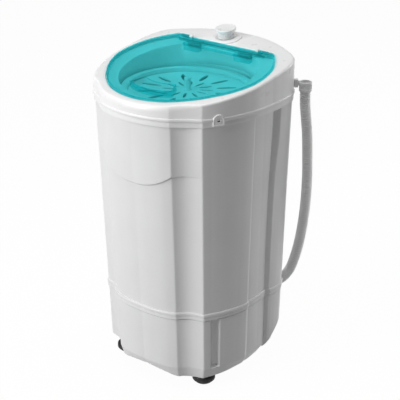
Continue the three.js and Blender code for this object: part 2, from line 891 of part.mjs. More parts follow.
function basePlate() {
  const inside = (angle, level) => {
    const below = Math.max(0, bevelLine(angle) - level);
    const tuck = insetAt(angle) * Math.min(1, below / (bevelLine(angle) - baseEdge(angle)));
    const groove = grooveCut(angle) ? grooveDepth : 0;
    const ease = alongRows(cornerPlateEase, angle);
    return bodyAt(angle, level) - shellWall - 2 * shellFit - tuck - groove - ease;
  };
  const outline = planAngles.map((angle) => {
    const radius = Math.min(inside(angle, basePlateHeight), inside(angle, plateTop));
    const point = planPoint(radius, leaning(angle, basePlateHeight), 0);
    return new THREE.Vector2(point.x, point.y);
  });
  return slab(outline, basePlateHeight, basePlateThickness);
}

// ---------------------------------------------------------------- tub and basket
function tub() {
  const inner = tubRadius - tubWall;
  const floor = tubBottom + tubWall;
  return turned([
    [tubFloorHole, tubBottom],
    [tubRadius - 6, tubBottom],
    [tubRadius, tubBottom + 6],
    [tubRadius, tubTop - tubFlangeHeight],
    [tubFlange, tubTop - tubFlangeHeight],
    [tubFlange, tubTop],
    [inner, tubTop],
    [inner, floor + 5],
    [inner - 5, floor],
    [tubFloorHole, floor],
  ]);
}

function basket() {
  const top = ringBottom - seatGap;
  const bore = shaftRadius + shaftGap;
  const raised = basketBottom + basketHubRise;
  return turned([
    [bore, raised],
    [basketHubRadius, raised],
    [basketHubRadius + 17, basketBottom],
    [basketRadius - 6, basketBottom],
    [basketRadius - 0.6, basketBottom + 6],
    [basketRadius, top],
    [basketRadius - basketWall, top],
    [basketRadius - basketWall - 0.6, basketBottom + 7],
    [basketRadius - basketWall - 6, basketBottom + basketWall],
    [basketHubRadius + 18, basketBottom + basketWall],
    [basketHubRadius + 1, raised + basketWall],
    [bore, raised + basketWall],
  ]);
}

function balanceRing() {
  return turned([
    [ringInner - ringLip, ringBottom],
    [ringOuter, ringBottom],
    [ringOuter, ringTop - 2],
    [ringOuter - 2, ringTop],
    [ringInner + 2, ringTop],
    [ringInner, ringTop - 2],
    [ringInner, discBottom - seatGap],
    [ringInner - ringLip, discBottom - seatGap],
  ]);
}

function pressDisc() {
  const rim = ringOf(discRadius, 40);
  const holes = [];
  for (let i = 0; i < petalCount; i += 1) {
    const turn = (360 * i) / petalCount;
    holes.push(petal(turn, petalInner, petalMiddle - 5, petalWidth * 0.6));
    holes.push(petal(turn + 180 / petalCount, petalMiddle, petalOuter, petalWidth));
  }
  return slab(rim, discBottom, discThickness, holes);
}

// A leaf-shaped slot that points away from the centre.
function petal(turn, from, to, width) {
  const steps = 3;
  const middle = (from + to) / 2;
  const half = (to - from) / 2;
  const points = [];
  for (let i = 0; i < 2 * steps; i += 1) {
    const swing = (Math.PI * i) / steps;
    const along = middle + half * Math.cos(swing);
    const across = (width / 2) * Math.sin(swing);
    const angle = radians(turn);
    const x = along * Math.sin(angle) + across * Math.cos(angle);
    const y = -along * Math.cos(angle) + across * Math.sin(angle);
    points.push(new THREE.Vector2(x, y));
  }
  return points;
}

function basketHub() {
  const top = hubSeat + hubHeight;
  const bore = shaftRadius + shaftGap;
  return turned([
    [bore, hubSeat],
    [basketHubRadius - 2, hubSeat],
    [basketHubRadius - 4, hubSeat + 4],
    [hubTopRadius, top],
    [bore, top],
  ], 24);
}

function hubNut() {
  const bottom = hubSeat + hubHeight + seatGap;
  return slab(ringOf(hubNutRadius, 6), bottom, hubNutHeight, [ringOf(shaftRadius + shaftGap, 20)]);
}

// ---------------------------------------------------------------- drive
function motorBody() {
  const bore = shaftRadius + shaftGap;
  return turned([
    [0, motorBottom],
    [motorRadius * 0.5, motorBottom],
    [motorRadius * 0.55, motorBottom + 5],
    [motorRadius - 3, motorBottom + 7],
    [motorRadius, motorBottom + motorBore],
    [motorRadius, motorTop - 9],
    [motorRadius - 4, motorTop],
    [bore, motorTop],
    [bore, motorBottom + motorBore],
    [0, motorBottom + motorBore],
  ], 24);
}

function motorBracket() {
  const bottom = motorTop + seatGap;
  const plate = sleeve(shaftRadius + 6, bracketRadius, bottom, bracketTop);
  const arms = [0, 120, 240].map((turn) => {
    const length = bracketArm - bracketRadius + 8;
    const middle = bracketArm - length / 2;
    const centre = (bottom + bracketTop) / 2;
    const arm = block(bracketArmWidth, length, bracketThickness, 0, -middle, centre);
    arm.rotateZ(radians(turn));
    return arm;
  });
  return join(plate, ...arms);
}

function springCup(turn) {
  const cup = sleeve(springRadius * 0.35, springRadius, plateTop + seatGap, springBottom, 20);
  return atTurn(cup, turn);
}

function spring(turn) {
  return atTurn(disc(springRadius - 1, springBottom + seatGap, motorTop, 16), turn);
}

function atTurn(geometry, turn) {
  const place = planPoint(springCircle, turn, 0);
  geometry.translate(place.x, place.y, 0);
  return geometry;
}

function driveShaft() {
  return disc(shaftRadius, motorBottom + motorBore + seatGap, shaftTop, 20);
}

function brakeDrum() {
  const top = drumBottom + drumHeight;
  const bore = shaftRadius + shaftGap;
  return sleeve(bore, drumRadius, drumBottom, top, 28);
}

function brakePin() {
  const pin = disc(brakePinRadius, bracketTop + seatGap, drumBottom + drumHeight, 14);
  pin.translate(drumRadius + brakeReach, brakeEyeSetback, 0);
  return pin;
}

function brakeLever() {
  const bottom = bracketTop + brakeClearance;
  const top = bottom + brakeThickness;
  const middle = (bottom + top) / 2;
  const x = drumRadius + brakeReach;
  const arm = block(brakeArmWidth, brakeArmLength, brakeThickness, x, brakeArmSetback, middle);
  const eye = disc(brakeEyeRadius, bottom, top, 20);
  eye.translate(x, brakeEyeSetback, 0);
  const bore = disc(brakePinRadius + shaftGap, bottom - 1, top + 1, 14);
  bore.translate(x, brakeEyeSetback, 0);
  return cut(join(arm, eye), bore);
}

function brakePad() {
  const level = bracketTop + brakeClearance + brakeThickness / 2;
  const inner = drumRadius + brakePadGap;
  const outer = drumRadius + brakeReach - brakeArmWidth / 2 - seatGap;
  const width = outer - inner;
  const middle = (inner + outer) / 2;
  return block(width, brakePadLength, brakeThickness, middle, brakePadSetback, level);
}

function bearingSleeve() {
  const bottom = drumBottom + drumHeight + sleeveClearance;
  return sleeve(shaftRadius + shaftGap, sleeveRadius, bottom, bottom + sleeveHeight, 24);
}

function shaftBellows() {
  const inner = sleeveRadius + seatGap;
  const low = tubBottom;
  const high = drumBottom + drumHeight + sleeveHeight - sleeveClearance;
  return turned([
    [inner, high - bellowsWall - 4],
    [inner + 4, high - bellowsWall - 4],
    [inner + 9, low + 1],
    [tubFloorHole - seatGap, low],
    [tubFloorHole - seatGap, low + bellowsWall],
    [inner + 10.5, low + bellowsWall + 1.5],
    [inner + 5.5, high],
    [inner, high],
  ], 20);
}

// ---------------------------------------------------------------- drain hose and fittings
function hoseRoute() {
  const top = casingTop - 4;
  const rise = top - elbowHeight;
  const route = [
    [elbowOffset + elbowSpigot, elbowReach, 0],
    [elbowOffset + 33, elbowReach, 0],
    [elbowOffset + 44, elbowReach, 0],
    [elbowOffset + 58, elbowReach - 0.5, 1.2],
    [elbowOffset + 76, elbowReach - 2, 6.5],
    [elbowOffset + 94, elbowReach - 4, 16.5],
    [elbowOffset + 111, elbowReach - 5.5, 30],
    [128, 153, 54],
    [140, 151, 84],
    [151.5, 148, 124],
    [161, 144, 170],
    [167, 141, 216],
    [170, 138, 268],
    [169.5, 136.5, 310],
    [169, 134.5, 346],
    [166.3, 132.5, 380],
    [164.5, 131.3, 402],
    [164, 131, 417],
    [164, 131, rise],
  ];
  return route.map(([x, y, z]) => new THREE.Vector3(x, y, elbowHeight + z));
}

// Ribs outside, a smooth bore inside, and a flat ring at each end.
function drainHose() {
  const curve = new THREE.CatmullRomCurve3(hoseRoute(), false, "centripetal");
  const rings = 2 * ribCount;
  const frames = curve.computeFrenetFrames(rings, false);
  const sides = 8;
  const outerRows = [];
  const boreRows = [];
  const ringAt = (step, radius) => {
    const centre = curve.getPointAt(step / rings);
    const points = [];
    for (let k = 0; k < sides; k += 1) {
      const turn = (2 * Math.PI * k) / sides;
      const offset = frames.normals[step].clone().multiplyScalar(radius * Math.cos(turn));
      offset.addScaledVector(frames.binormals[step], radius * Math.sin(turn));
      points.push(centre.clone().add(offset));
    }
    return points;
  };
  for (let step = 0; step <= rings; step += 1) {
    outerRows.push(ringAt(step, step % 2 === 0 ? hoseRadius : hoseValley));
    if (step % (2 * boreEvery) === 0) boreRows.push(ringAt(step, hoseBore));
  }
  const pitch = curve.getLength() / ribCount;
  console.log(`hose length ${curve.getLength().toFixed(1)} mm, rib pitch ${pitch.toFixed(2)} mm`);
  console.log(`hose least gap to itself ${leastGap(curve, rings).toFixed(1)} mm`);
  return loftRing([...outerRows, ...boreRows.reverse()]);
}

// Smallest distance between stretches of the hose that are not neighbours along it.
function leastGap(curve, steps) {
  const points = curve.getSpacedPoints(steps);
  const apart = Math.ceil((8 * hoseRadius) / (curve.getLength() / steps));
  let least = Infinity;
  for (let i = 0; i < points.length; i += 1) {
    for (let j = i + apart; j < points.length; j += 1) {
      least = Math.min(least, points[i].distanceTo(points[j]));
    }
  }
  return least - 2 * hoseRadius;
}

// Farthest point of the rear wall within a round fitting's reach.
function rearWall(x, level, reach = 0) {
  const rear = [...rightAngles.filter((angle) => angle > 130)].reverse();
  const points = rear.map((angle) => planPoint(bodyAt(angle, level + reach), angle, level));
  const depthAt = (across) => {
    const after = points.findIndex((point) => point.x >= across);
    const [a, b] = [points[after - 1], points[after]];
    return a ? a.y + ((b.y - a.y) * (across - a.x)) / (b.x - a.x) : b.y;
  };
  const near = Math.max(0, Math.abs(x) - reach);
  return Math.max(depthAt(near), depthAt(Math.abs(x) + reach));
}

function rodAlongY(radius, from, to, x, level, segments = 20) {
  const geometry = new THREE.CylinderGeometry(radius, radius, to - from, segments);
  geometry.translate(x, (from + to) / 2, level);
  return geometry;
}

function elbowHole() {
  const wall = rearWall(elbowOffset, elbowHeight);
  return rodAlongY(elbowRadius + seatGap, wall - 30, wall + 30, elbowOffset, elbowHeight);
}

function glandHole() {
  const wall = rearWall(glandOffset, glandHeight);
  return rodAlongY(glandRadius + seatGap, wall - 30, wall + 30, glandOffset, glandHeight, 16);
}

function drainElbow() {
  const wall = rearWall(elbowOffset, elbowHeight, elbowFlange) + seatGap;
  const end = elbowOffset + elbowSpigot - seatGap;
  const path = new THREE.CurvePath();
  const at = (x, y) => new THREE.Vector3(x, y, elbowHeight);
  const start = at(elbowOffset, wall - 14);
  const turnIn = at(elbowOffset, elbowReach - elbowBend);
  const turnOut = at(elbowOffset + elbowBend, elbowReach);
  path.add(new THREE.LineCurve3(start, turnIn));
  path.add(new THREE.QuadraticBezierCurve3(turnIn, at(elbowOffset, elbowReach), turnOut));
  path.add(new THREE.LineCurve3(turnOut, at(end, elbowReach)));
  const tube = (radius) => {
    const shape = new THREE.Shape();
    shape.absarc(0, 0, radius, 0, 2 * Math.PI, false);
    const settings = { steps: 8, curveSegments: 5, extrudePath: path };
    return new THREE.ExtrudeGeometry(shape, settings);
  };
  const flange = rodAlongY(elbowFlange, wall, wall + elbowFlangeThickness, elbowOffset, elbowHeight, 28);
  return cut(join(tube(elbowRadius), flange), tube(elbowRadius - elbowWall));
}

function cordGland() {
  const wall = rearWall(glandOffset, glandHeight, glandCap) + seatGap;
  const inner = wall - glandNeck;
  const neck = rodAlongY(glandRadius, inner, wall + 1, glandOffset, glandHeight, 16);
  const cap = rodAlongY(glandCap, wall, wall + glandCapHeight, glandOffset, glandHeight, 24);
  const middle = wall + glandCapHeight / 2;
  const hole = rodAlongY(glandBore, inner - 1, middle, glandOffset, glandHeight, 16);
  return cut(join(neck, cap), hole);
}

const hoseEnd = hoseRoute().at(-1);
const clipAngle = degreesOf(Math.atan2(hoseEnd.x, -hoseEnd.y));
const clipBottom = ledgeTop + seatGap;
const clipHeight = hoseEnd.z + seatGap + cuffHeight - clipBottom;
const clipMiddle = clipBottom + clipHeight / 2;
const hoseDistance = Math.hypot(hoseEnd.x, hoseEnd.y);

// Open collar on the hose's free end, with a lug towards the clip.
function hoseCuff() {
  const bottom = hoseEnd.z + seatGap;
  const cuff = turned([
    [hoseBore, bottom],
    [cuffRadius, bottom],
    [cuffRadius, bottom + cuffHeight],
    [cuffRadius - 2, bottom + cuffHeight],
    [cuffRadius - 2, bottom + 4],
    [hoseBore, bottom + 4],
  ], 20);
  const clipEnd = clipSeat() + clipReach + seatGap;
  const lugOuter = hoseDistance - cuffRadius + 1.2;
  const middle = (clipEnd + lugOuter) / 2;
  const lug = block(lugWidth, lugOuter - clipEnd, lugHeight, 0, -middle, clipMiddle);
  cuff.translate(0, -hoseDistance, 0);
  const whole = join(cuff, lug);
  whole.rotateZ(radians(clipAngle));
  return whole;
}

// A short bracket on the cover's rear right corner that holds the cuff's lug.
function hoseClip() {
  const middle = clipSeat() + clipReach / 2;
  const clip = block(clipWidth, clipReach, clipHeight, 0, -middle, clipMiddle);
  clip.rotateZ(radians(clipAngle));
  return positionsOnly(clip);
}

// Farthest point of the cover's side near the clip, so that the clip clears it.
function clipSeat() {
  const near = planAngles.filter((side) => side > 0 && Math.abs(side - clipAngle) < 12);
  const radii = near.map((side) => coverAt(side) * Math.cos(radians(side - clipAngle)));
  return Math.max(...radii) + seatGap;
}

// ---------------------------------------------------------------- electrical parts
function capacitor() {
  const bottom = plateTop + seatGap;
  const can = disc(capacitorRadius, bottom, bottom + capacitorHeight, 24);
  can.translate(0, capacitorSetback, 0);
  return can;
}

function capacitorStrap() {
  const bottom = plateTop + seatGap;
  const inner = capacitorRadius + seatGap;
  const ring = sleeve(inner, inner + strapThickness, bottom, bottom + strapHeight, 24);
  const reach = -inner - strapTabLength / 2;
  const level = bottom + strapThickness / 2;
  const tab = block(strapTabWidth, strapTabLength, strapThickness, 0, reach, level);
  const strap = join(ring, tab);
  strap.translate(0, capacitorSetback, 0);
  return strap;
}

// ---------------------------------------------------------------- finishes
const finishes = {
  whitePlastic: { color: 0xe9eaec, roughness: 0.35, metalness: 0 },
  coverPlastic: { color: 0xf1f1f2, roughness: 0.3, metalness: 0 },
  tealPlastic: { color: 0x17b3b8, roughness: 0.1, metalness: 0, transparent: true, opacity: 0.6 },
  innerPlastic: { color: 0xdfe3e4, roughness: 0.45, metalness: 0 },
  hosePlastic: { color: 0xcfd2d4, roughness: 0.5, metalness: 0 },
  blackRubber: { color: 0x111111, roughness: 0.8, metalness: 0 },
  greyRubber: { color: 0x55585a, roughness: 0.8, metalness: 0 },
  steel: { color: 0xb9bcc0, roughness: 0.35, metalness: 1 },
  darkSteel: { color: 0x3d3f42, roughness: 0.5, metalness: 0.9 },
  paintedMotor: { color: 0x2f3236, roughness: 0.5, metalness: 0.5 },
  castIron: { color: 0x4a4b4d, roughness: 0.7, metalness: 0.8 },
  blackPlastic: { color: 0x1b1c1e, roughness: 0.5, metalness: 0 },
};

// ---------------------------------------------------------------- scene graph
const group = new THREE.Group();
const deckFrame = new THREE.Group();
deckFrame.position.set(0, 0, lidHeight);
deckFrame.rotation.x = radians(deckTilt);
group.add(deckFrame);
const knobFrame = new THREE.Group();
knobFrame.position.set(knobOffset, knobSetback, deckTop);
deckFrame.add(knobFrame);

function addPart(parent, name, finish, geometry) {
  const material = new THREE.MeshStandardMaterial(finishes[finish]);
  const mesh = new THREE.Mesh(geometry, material);
  mesh.name = name;
  parent.add(mesh);
  return mesh;
}

addPart(group, "base_shell", "whitePlastic", baseShell());
addPart(group, "casing_shell", "whitePlastic", casingShell());
addPart(group, "top_cover", "coverPlastic", topCover());
addPart(group, "base_plate", "darkSteel", basePlate());
const footPlaces = {
  front_left: [-footOffset, -footFront],
  front_right: [footOffset, -footFront],
  rear_left: [-footRearOffset, footRear],
  rear_right: [footRearOffset, footRear],
};
for (const [corner, [x, y]] of Object.entries(footPlaces)) {
  addPart(group, `foot_${corner}`, "blackRubber", foot()).position.set(x, y, 0);
}
for (const [corner, angle] of Object.entries(tabAngles)) {
  addPart(group, `cover_screw_${corner}`, "steel", coverScrew(angle));
}
addPart(group, "tub", "innerPlastic", tub());
addPart(group, "drain_elbow", "innerPlastic", drainElbow());
addPart(group, "drain_hose", "hosePlastic", drainHose());
addPart(group, "hose_cuff", "coverPlastic", hoseCuff());
addPart(group, "hose_clip", "coverPlastic", hoseClip());
addPart(group, "cord_gland", "blackPlastic", cordGland());
addPart(group, "capacitor", "darkSteel", capacitor());
addPart(group, "capacitor_strap", "steel", capacitorStrap());
addPart(group, "motor_body", "paintedMotor", motorBody());
addPart(group, "motor_bracket", "darkSteel", motorBracket());
for (const [number, turn] of [0, 120, 240].entries()) {
  addPart(group, `spring_cup_${number + 1}`, "blackPlastic", springCup(turn));
  addPart(group, `suspension_spring_${number + 1}`, "steel", spring(turn));
}
addPart(group, "bearing_sleeve", "castIron", bearingSleeve());
addPart(group, "shaft_bellows", "greyRubber", shaftBellows());
addPart(group, "brake_pin", "steel", brakePin());
addPart(group, "brake_lever", "darkSteel", brakeLever());
addPart(group, "brake_pad", "blackRubber", brakePad());
addPart(group, "drive_shaft", "steel", driveShaft());
addPart(group, "brake_drum", "castIron", brakeDrum());
addPart(group, "basket", "steel", basket());
addPart(group, "balance_ring", "innerPlastic", balanceRing());
addPart(group, "basket_hub", "innerPlastic", basketHub());
addPart(group, "hub_nut", "steel", hubNut());
addPart(group, "press_disc", "innerPlastic", pressDisc());
addPart(group, "disc_grip", "innerPlastic", disc(gripRadius, discTop + seatGap, discTop + gripHeight, 24));

addPart(deckFrame, "lid", "tealPlastic", lidPanelSolid());
for (const [side, name] of [[-1, "left"], [1, "right"]]) {
  const middle = side * (pinStart + pinLength / 2);
  const pin = rodAlongX(pinRadius, pinLength, middle, hingeSetback, -hingeSink);
  addPart(deckFrame, `hinge_pin_${name}`, "steel", pin);
}
addPart(deckFrame, "switch_body", "blackPlastic", switchBody());
addPart(deckFrame, "switch_lever", "blackPlastic", switchLever());
addPart(knobFrame, "timer_bezel", "coverPlastic", timerBezel());
addPart(knobFrame, "timer_knob", "coverPlastic", timerKnob());
addPart(knobFrame, "timer_shaft", "steel", timerShaft());
addPart(knobFrame, "timer_body", "blackPlastic", timerBody());

export default group;
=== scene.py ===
import math
from contextlib import contextmanager

import bmesh
import bpy
import numpy as np
from mathutils import Matrix, Vector


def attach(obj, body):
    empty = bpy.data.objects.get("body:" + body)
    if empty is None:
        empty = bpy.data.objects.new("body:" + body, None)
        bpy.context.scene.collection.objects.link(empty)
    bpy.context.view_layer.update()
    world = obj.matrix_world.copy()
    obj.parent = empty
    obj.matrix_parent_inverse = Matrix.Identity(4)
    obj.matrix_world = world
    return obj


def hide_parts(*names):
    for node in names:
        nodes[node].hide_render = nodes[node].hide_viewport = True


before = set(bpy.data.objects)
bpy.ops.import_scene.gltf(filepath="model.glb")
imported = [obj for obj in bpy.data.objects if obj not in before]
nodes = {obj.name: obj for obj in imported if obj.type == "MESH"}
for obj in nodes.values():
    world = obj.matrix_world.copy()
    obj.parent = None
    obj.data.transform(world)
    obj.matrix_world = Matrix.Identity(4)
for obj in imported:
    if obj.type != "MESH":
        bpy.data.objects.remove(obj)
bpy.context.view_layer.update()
scene = bpy.context.scene
scene.view_settings.view_transform = "Standard"
mm = 0.001  # sizes below are in millimetres, meshes in metres
print("frame loaded")

# camera
view = {"azimuth": 38.677, "elevation": 23.302, "distance": 2.2536, "lens": 109.3, "target": (0.0170, 0.0137, 0.3218)}


def aimed(name, data, target, azimuth, elevation, distance):
    turn, lift = math.radians(azimuth), math.radians(elevation)
    away = Vector((math.sin(turn) * math.cos(lift), -math.cos(turn) * math.cos(lift), math.sin(lift)))
    item = bpy.data.objects.new(name, data)
    scene.collection.objects.link(item)
    item.location = Vector(target) + away * distance
    item.rotation_mode = "QUATERNION"
    item.rotation_quaternion = (-away).to_track_quat("-Z", "Y")
    return item


camera = bpy.data.cameras.new("camera")
camera.sensor_width, camera.lens = 36, view["lens"]
scene.camera = aimed("camera", camera, view["target"], view["azimuth"], view["elevation"], view["distance"])
print("camera placed")


# nodes for materials and geometry
def feed(tree, node, inputs):
    for key, value in dict(inputs).items():
        socket = node.inputs[key]
        if isinstance(value, bpy.types.NodeSocket):
            tree.links.new(value, socket)
        else:
            socket.default_value = value
    return node


def addNode(tree, kind, inputs=(), **settings):
    node = tree.nodes.new(kind)
    for key, value in settings.items():
        setattr(node, key, value)
    return feed(tree, node, inputs)


def newMaterial(name):
    material = bpy.data.materials.new(name)
    material.use_nodes = True
    tree = material.node_tree
    return material, tree, tree.nodes["Principled BSDF"]


def noiseOf(tree, scale, detail=3.0, stretch=(1, 1, 1)):
    place = addNode(tree, "ShaderNodeTexCoord").outputs["Object"]
    mapped = addNode(tree, "ShaderNodeMapping", {"Vector": place, "Scale": stretch}).outputs["Vector"]
    return addNode(tree, "ShaderNodeTexNoise", {"Vector": mapped, "Scale": scale, "Detail": detail}).outputs["Fac"]


def spread(tree, value, low, high, fromLow=0.3, fromHigh=0.7):
    inputs = {"Value": value, "From Min": fromLow, "From Max": fromHigh, "To Min": low, "To Max": high}
    return addNode(tree, "ShaderNodeMapRange", inputs).outputs["Result"]


def blendOf(tree, share, first, second):
    mix = addNode(tree, "ShaderNodeMix", data_type="RGBA")
    tree.links.new(share, mix.inputs["Factor"])
    mix.inputs["A"].default_value = (*first, 1)
    mix.inputs["B"].default_value = (*second, 1)
    return mix.outputs["Result"]


def mathOf(tree, operation, first, second=0.0, third=0.0):
    return addNode(tree, "ShaderNodeMath", {0: first, 1: second, 2: third}, operation=operation).outputs[0]


def mixShaders(tree, end, share, first, second):
    mix = addNode(tree, "ShaderNodeMixShader", {0: share, 1: first.outputs[0], 2: second.outputs[0]})
    tree.links.new(mix.outputs[0], end.inputs["Surface"])


# base and shade are colours, roughness is (low, high), and grain is the noise scale of the fine relief
def surfaceFinish(name, base, shade, roughness, grain, grainHeight, patchScale=14, metallic=0.0, stretch=(1, 1, 1)):
    material, tree, shader = newMaterial(name)
    patches, smudges = noiseOf(tree, patchScale, 4), noiseOf(tree, patchScale * 3.1, 5)
    fine = noiseOf(tree, grain, 3, stretch)
    bump = addNode(tree, "ShaderNodeBump", {"Strength": 0.35, "Distance": grainHeight, "Height": fine})
    feed(tree, shader, {
        "Base Color": blendOf(tree, spread(tree, patches, 0, 1), base, shade),
        "Roughness": spread(tree, smudges, *roughness), "Normal": bump.outputs["Normal"], "Metallic": metallic,
    })
    return material


def tealFinish(name, tint, body):
    material, tree, shader = newMaterial(name)
    patches, smudges = noiseOf(tree, 11, 3), noiseOf(tree, 36, 5)
    feed(tree, shader, {
        "Base Color": blendOf(tree, spread(tree, patches, 0, 1), body, tuple(c * 0.86 for c in body)),
        "Roughness": spread(tree, smudges, 0.05, 0.13),
    })
    clear = addNode(tree, "ShaderNodeBsdfTransparent", {"Color": (*tint, 1)})
    edge = addNode(tree, "ShaderNodeFresnel", {"IOR": 1.45}).outputs["Fac"]
    outer = mathOf(tree, "SUBTRACT", 1.0, addNode(tree, "ShaderNodeNewGeometry").outputs["Backfacing"])
    share = mathOf(tree, "MULTIPLY", spread(tree, edge, 0.1, 0.7, 0.03, 0.7), outer)  # back faces stay clear
    mixShaders(tree, tree.nodes["Material Output"], share, clear, shader)
    return material


finishSizes = {
    "casing": ("casingPlastic", (0.81, 0.81, 0.812), (0.785, 0.785, 0.788), (0.34, 0.44), 900, 0.00012),
    "cover": ("coverPlastic", (0.88, 0.88, 0.882), (0.86, 0.86, 0.862), (0.26, 0.36), 1100, 0.00008),
    # inner plastic: a light plastic, made lighter still to paint in the light that the inside under the lid does not
    # get
    "inner": ("innerPlastic", (0.84, 0.85, 0.85), (0.80, 0.81, 0.812), (0.4, 0.5), 1000, 0.0001),
    # hose plastic: off-white, raised almost to pure white to paint in light that the hose gets little of in the body's
    # shade
    "hose": ("hosePlastic", (0.95, 0.95, 0.952), (0.92, 0.92, 0.922), (0.42, 0.55), 700, 0.00015, 30),
    "rubber": ("blackRubber", (0.004, 0.004, 0.004), (0.007, 0.007, 0.0072), (0.5, 0.75), 1400, 0.0002, 60),
    "greyRubber": ("greyRubber", (0.09, 0.092, 0.095), (0.12, 0.122, 0.125), (0.6, 0.8), 1300, 0.0002, 60),
    "steel": ("brightSteel", (0.60, 0.605, 0.61), (0.52, 0.525, 0.53), (0.22, 0.38), 500, 0.00005, 40, 1.0, (1, 1, 12)),
    "darkSteel": ("darkPaint", (0.035, 0.036, 0.038), (0.05, 0.051, 0.054), (0.35, 0.5), 600, 0.00015, 30),
    "castIron": ("castIron", (0.10, 0.10, 0.103), (0.15, 0.15, 0.152), (0.5, 0.7), 800, 0.0003, 60, 0.8),
    # dark screw heads, whose near-black colour also paints the shade inside the recessed screw holes
    "screw": ("darkScrewHoleShade", (0.006, 0.006, 0.007), (0.012, 0.012, 0.012), (0.5, 0.65), 900, 0.0001, 90, 0.2),
    "blackPlastic": ("blackPlastic", (0.02, 0.02, 0.022), (0.032, 0.032, 0.034), (0.4, 0.55), 1000, 0.0001, 30),
    "mark": ("dialMark", (0.30, 0.31, 0.33), (0.36, 0.37, 0.39), (0.4, 0.5), 900, 0.00005, 90),
}
finishes = {key: surfaceFinish(*sizes) for key, sizes in finishSizes.items()}
finishes["teal"] = tealFinish("tealPlastic", (0.57, 0.91, 0.925), (0.02, 0.78, 0.82))
print("materials made")


# mesh helpers
@contextmanager
def edited(mesh):
    work = bmesh.new()
    work.from_mesh(mesh)
    yield work
    work.to_mesh(mesh)
    work.free()


def cleanMesh(mesh, weld=0.000002):
    with edited(mesh) as work:
        bmesh.ops.remove_doubles(work, verts=work.verts, dist=weld)
        bmesh.ops.dissolve_degenerate(work, edges=work.edges, dist=weld)
    return mesh


# flips a closed mesh whose faces point inwards
def turnedOutwards(mesh):
    with edited(mesh) as work:
        if work.calc_volume(signed=True) < 0:
            bmesh.ops.reverse_faces(work, faces=work.faces)
    return mesh


def skinFrom(work):
    bmesh.ops.triangulate(work, faces=work.faces)
    work.verts.ensure_lookup_table()
    points = np.array([v.co for v in work.verts])
    faces = np.array([[v.index for v in f.verts] for f in work.faces])
    work.free()
    return points, faces


def pick(sizes, names):
    return [sizes[name] for name in names.split()]


# a closed skin of [points, quads] with its faces turned outwards
def facedOut(points, faces):
    points, faces = np.asarray(points, float), np.asarray(faces, int)
    a, b, c, d = (points[faces[:, k]] for k in range(4))
    volume = sum(np.einsum("ij,ij->i", a, np.cross(p, q)).sum() for p, q in ((b, c), (c, d)))
    return (points, faces[:, ::-1]) if volume < 0 else (points, faces)


# quads through rows of points; each row closes on itself, and the last row joins the first if ringed
def skinOf(rows, ringed=True):
    rows = np.asarray(rows, float)
    count, across = rows.shape[:2]
    i, k = np.arange(count if ringed else count - 1)[:, None], np.arange(across)[None, :]
    near, far, after = i * across, (i + 1) % count * across, (k + 1) % across
    faces = np.stack([near + k, near + after, far + after, far + k], -1)
    return facedOut(rows.reshape(-1, 3), faces.reshape(-1, 4))


# a turned piece about +Z through [radius, height] pairs; ripple(angles, index) scales the radius
def turnedSkin(outline, segments=96, ripple=None):
    turn = np.radians(np.arange(segments) * 360 / segments)
    rows = []
    for index, (radius, height) in enumerate(outline):
        reach = radius * (ripple(turn, index) if ripple else np.ones(segments))
        rows.append(np.stack([reach * np.sin(turn), -reach * np.cos(turn), np.full(segments, float(height))], 1))
    closes = outline[0][0] == 0 and outline[-1][0] == 0
    return skinOf(rows, ringed=not closes)


def softBlock(size, middle, bevel=0.6, segments=2):
    work = bmesh.new()
    bmesh.ops.create_cube(work, size=1)
    for vertex in work.verts:
        vertex.co = Vector((vertex.co[k] * size[k] + middle[k] for k in range(3)))
    bmesh.ops.bevel(work, geom=work.edges[:], offset=bevel, segments=segments, profile=0.5, affect="EDGES")
    return skinFrom(work)


# a flat slab of a plan outline round one hole, both lists of (x, y)
def slabSkin(outline, bottom, top, hole):
    work = bmesh.new()
    edges = []
    for loop in (outline, hole):
        corners = [work.verts.new((x, y, bottom)) for x, y in loop]
        edges += [work.edges.new((corners[k - 1], corners[k])) for k in [*range(1, len(corners)), 0]]
    filled = bmesh.ops.triangle_fill(work, edges=edges, use_beauty=True)
    faces = [item for item in filled["geom"] if isinstance(item, bmesh.types.BMFace)]
    for item in bmesh.ops.extrude_face_region(work, geom=faces, use_keep_orig=True)["geom"]:
        if isinstance(item, bmesh.types.BMVert):
            item.co.z = top
    bmesh.ops.recalc_face_normals(work, faces=work.faces)
    return skinFrom(work)


# turned by turn degrees about +Z, then shifted
def moved(skin, offset=(0, 0, 0), turn=0.0):
    points, faces = skin
    c, s = math.cos(math.radians(turn)), math.sin(math.radians(turn))
    spun = np.stack([points[:, 0] * c - points[:, 1] * s, points[:, 0] * s + points[:, 1] * c, points[:, 2]], 1)
    return spun + np.array(offset, float), faces


# one object of closed skins, given in millimetres
def pieceOf(name, skins, finish, smooth=32):
    mesh = bpy.data.meshes.new(name)
    points, faces, start = [], [], 0
    for skinPoints, skinFaces in skins:
        points.append(np.asarray(skinPoints, float))
        faces += (np.asarray(skinFaces, int) + start).tolist()
        start += len(skinPoints)
    mesh.from_pydata((np.concatenate(points) * mm).tolist(), [], faces)
    cleanMesh(mesh)
    return meshPiece(name, mesh, finish, smooth)


def meshPiece(name, mesh, finish, smooth=32):
    mesh.name = name
    mesh.materials.clear()
    mesh.materials.append(finishes[finish])
    mesh.shade_smooth()
    mesh.set_sharp_from_angle(angle=math.radians(smooth))
    piece = bpy.data.objects.new(name, mesh)
    scene.collection.objects.link(piece)
    return piece


def fitTo(piece, body, slotName, *standsFor):
    if standsFor:
        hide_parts(*standsFor)
    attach(piece, body)
    return piece


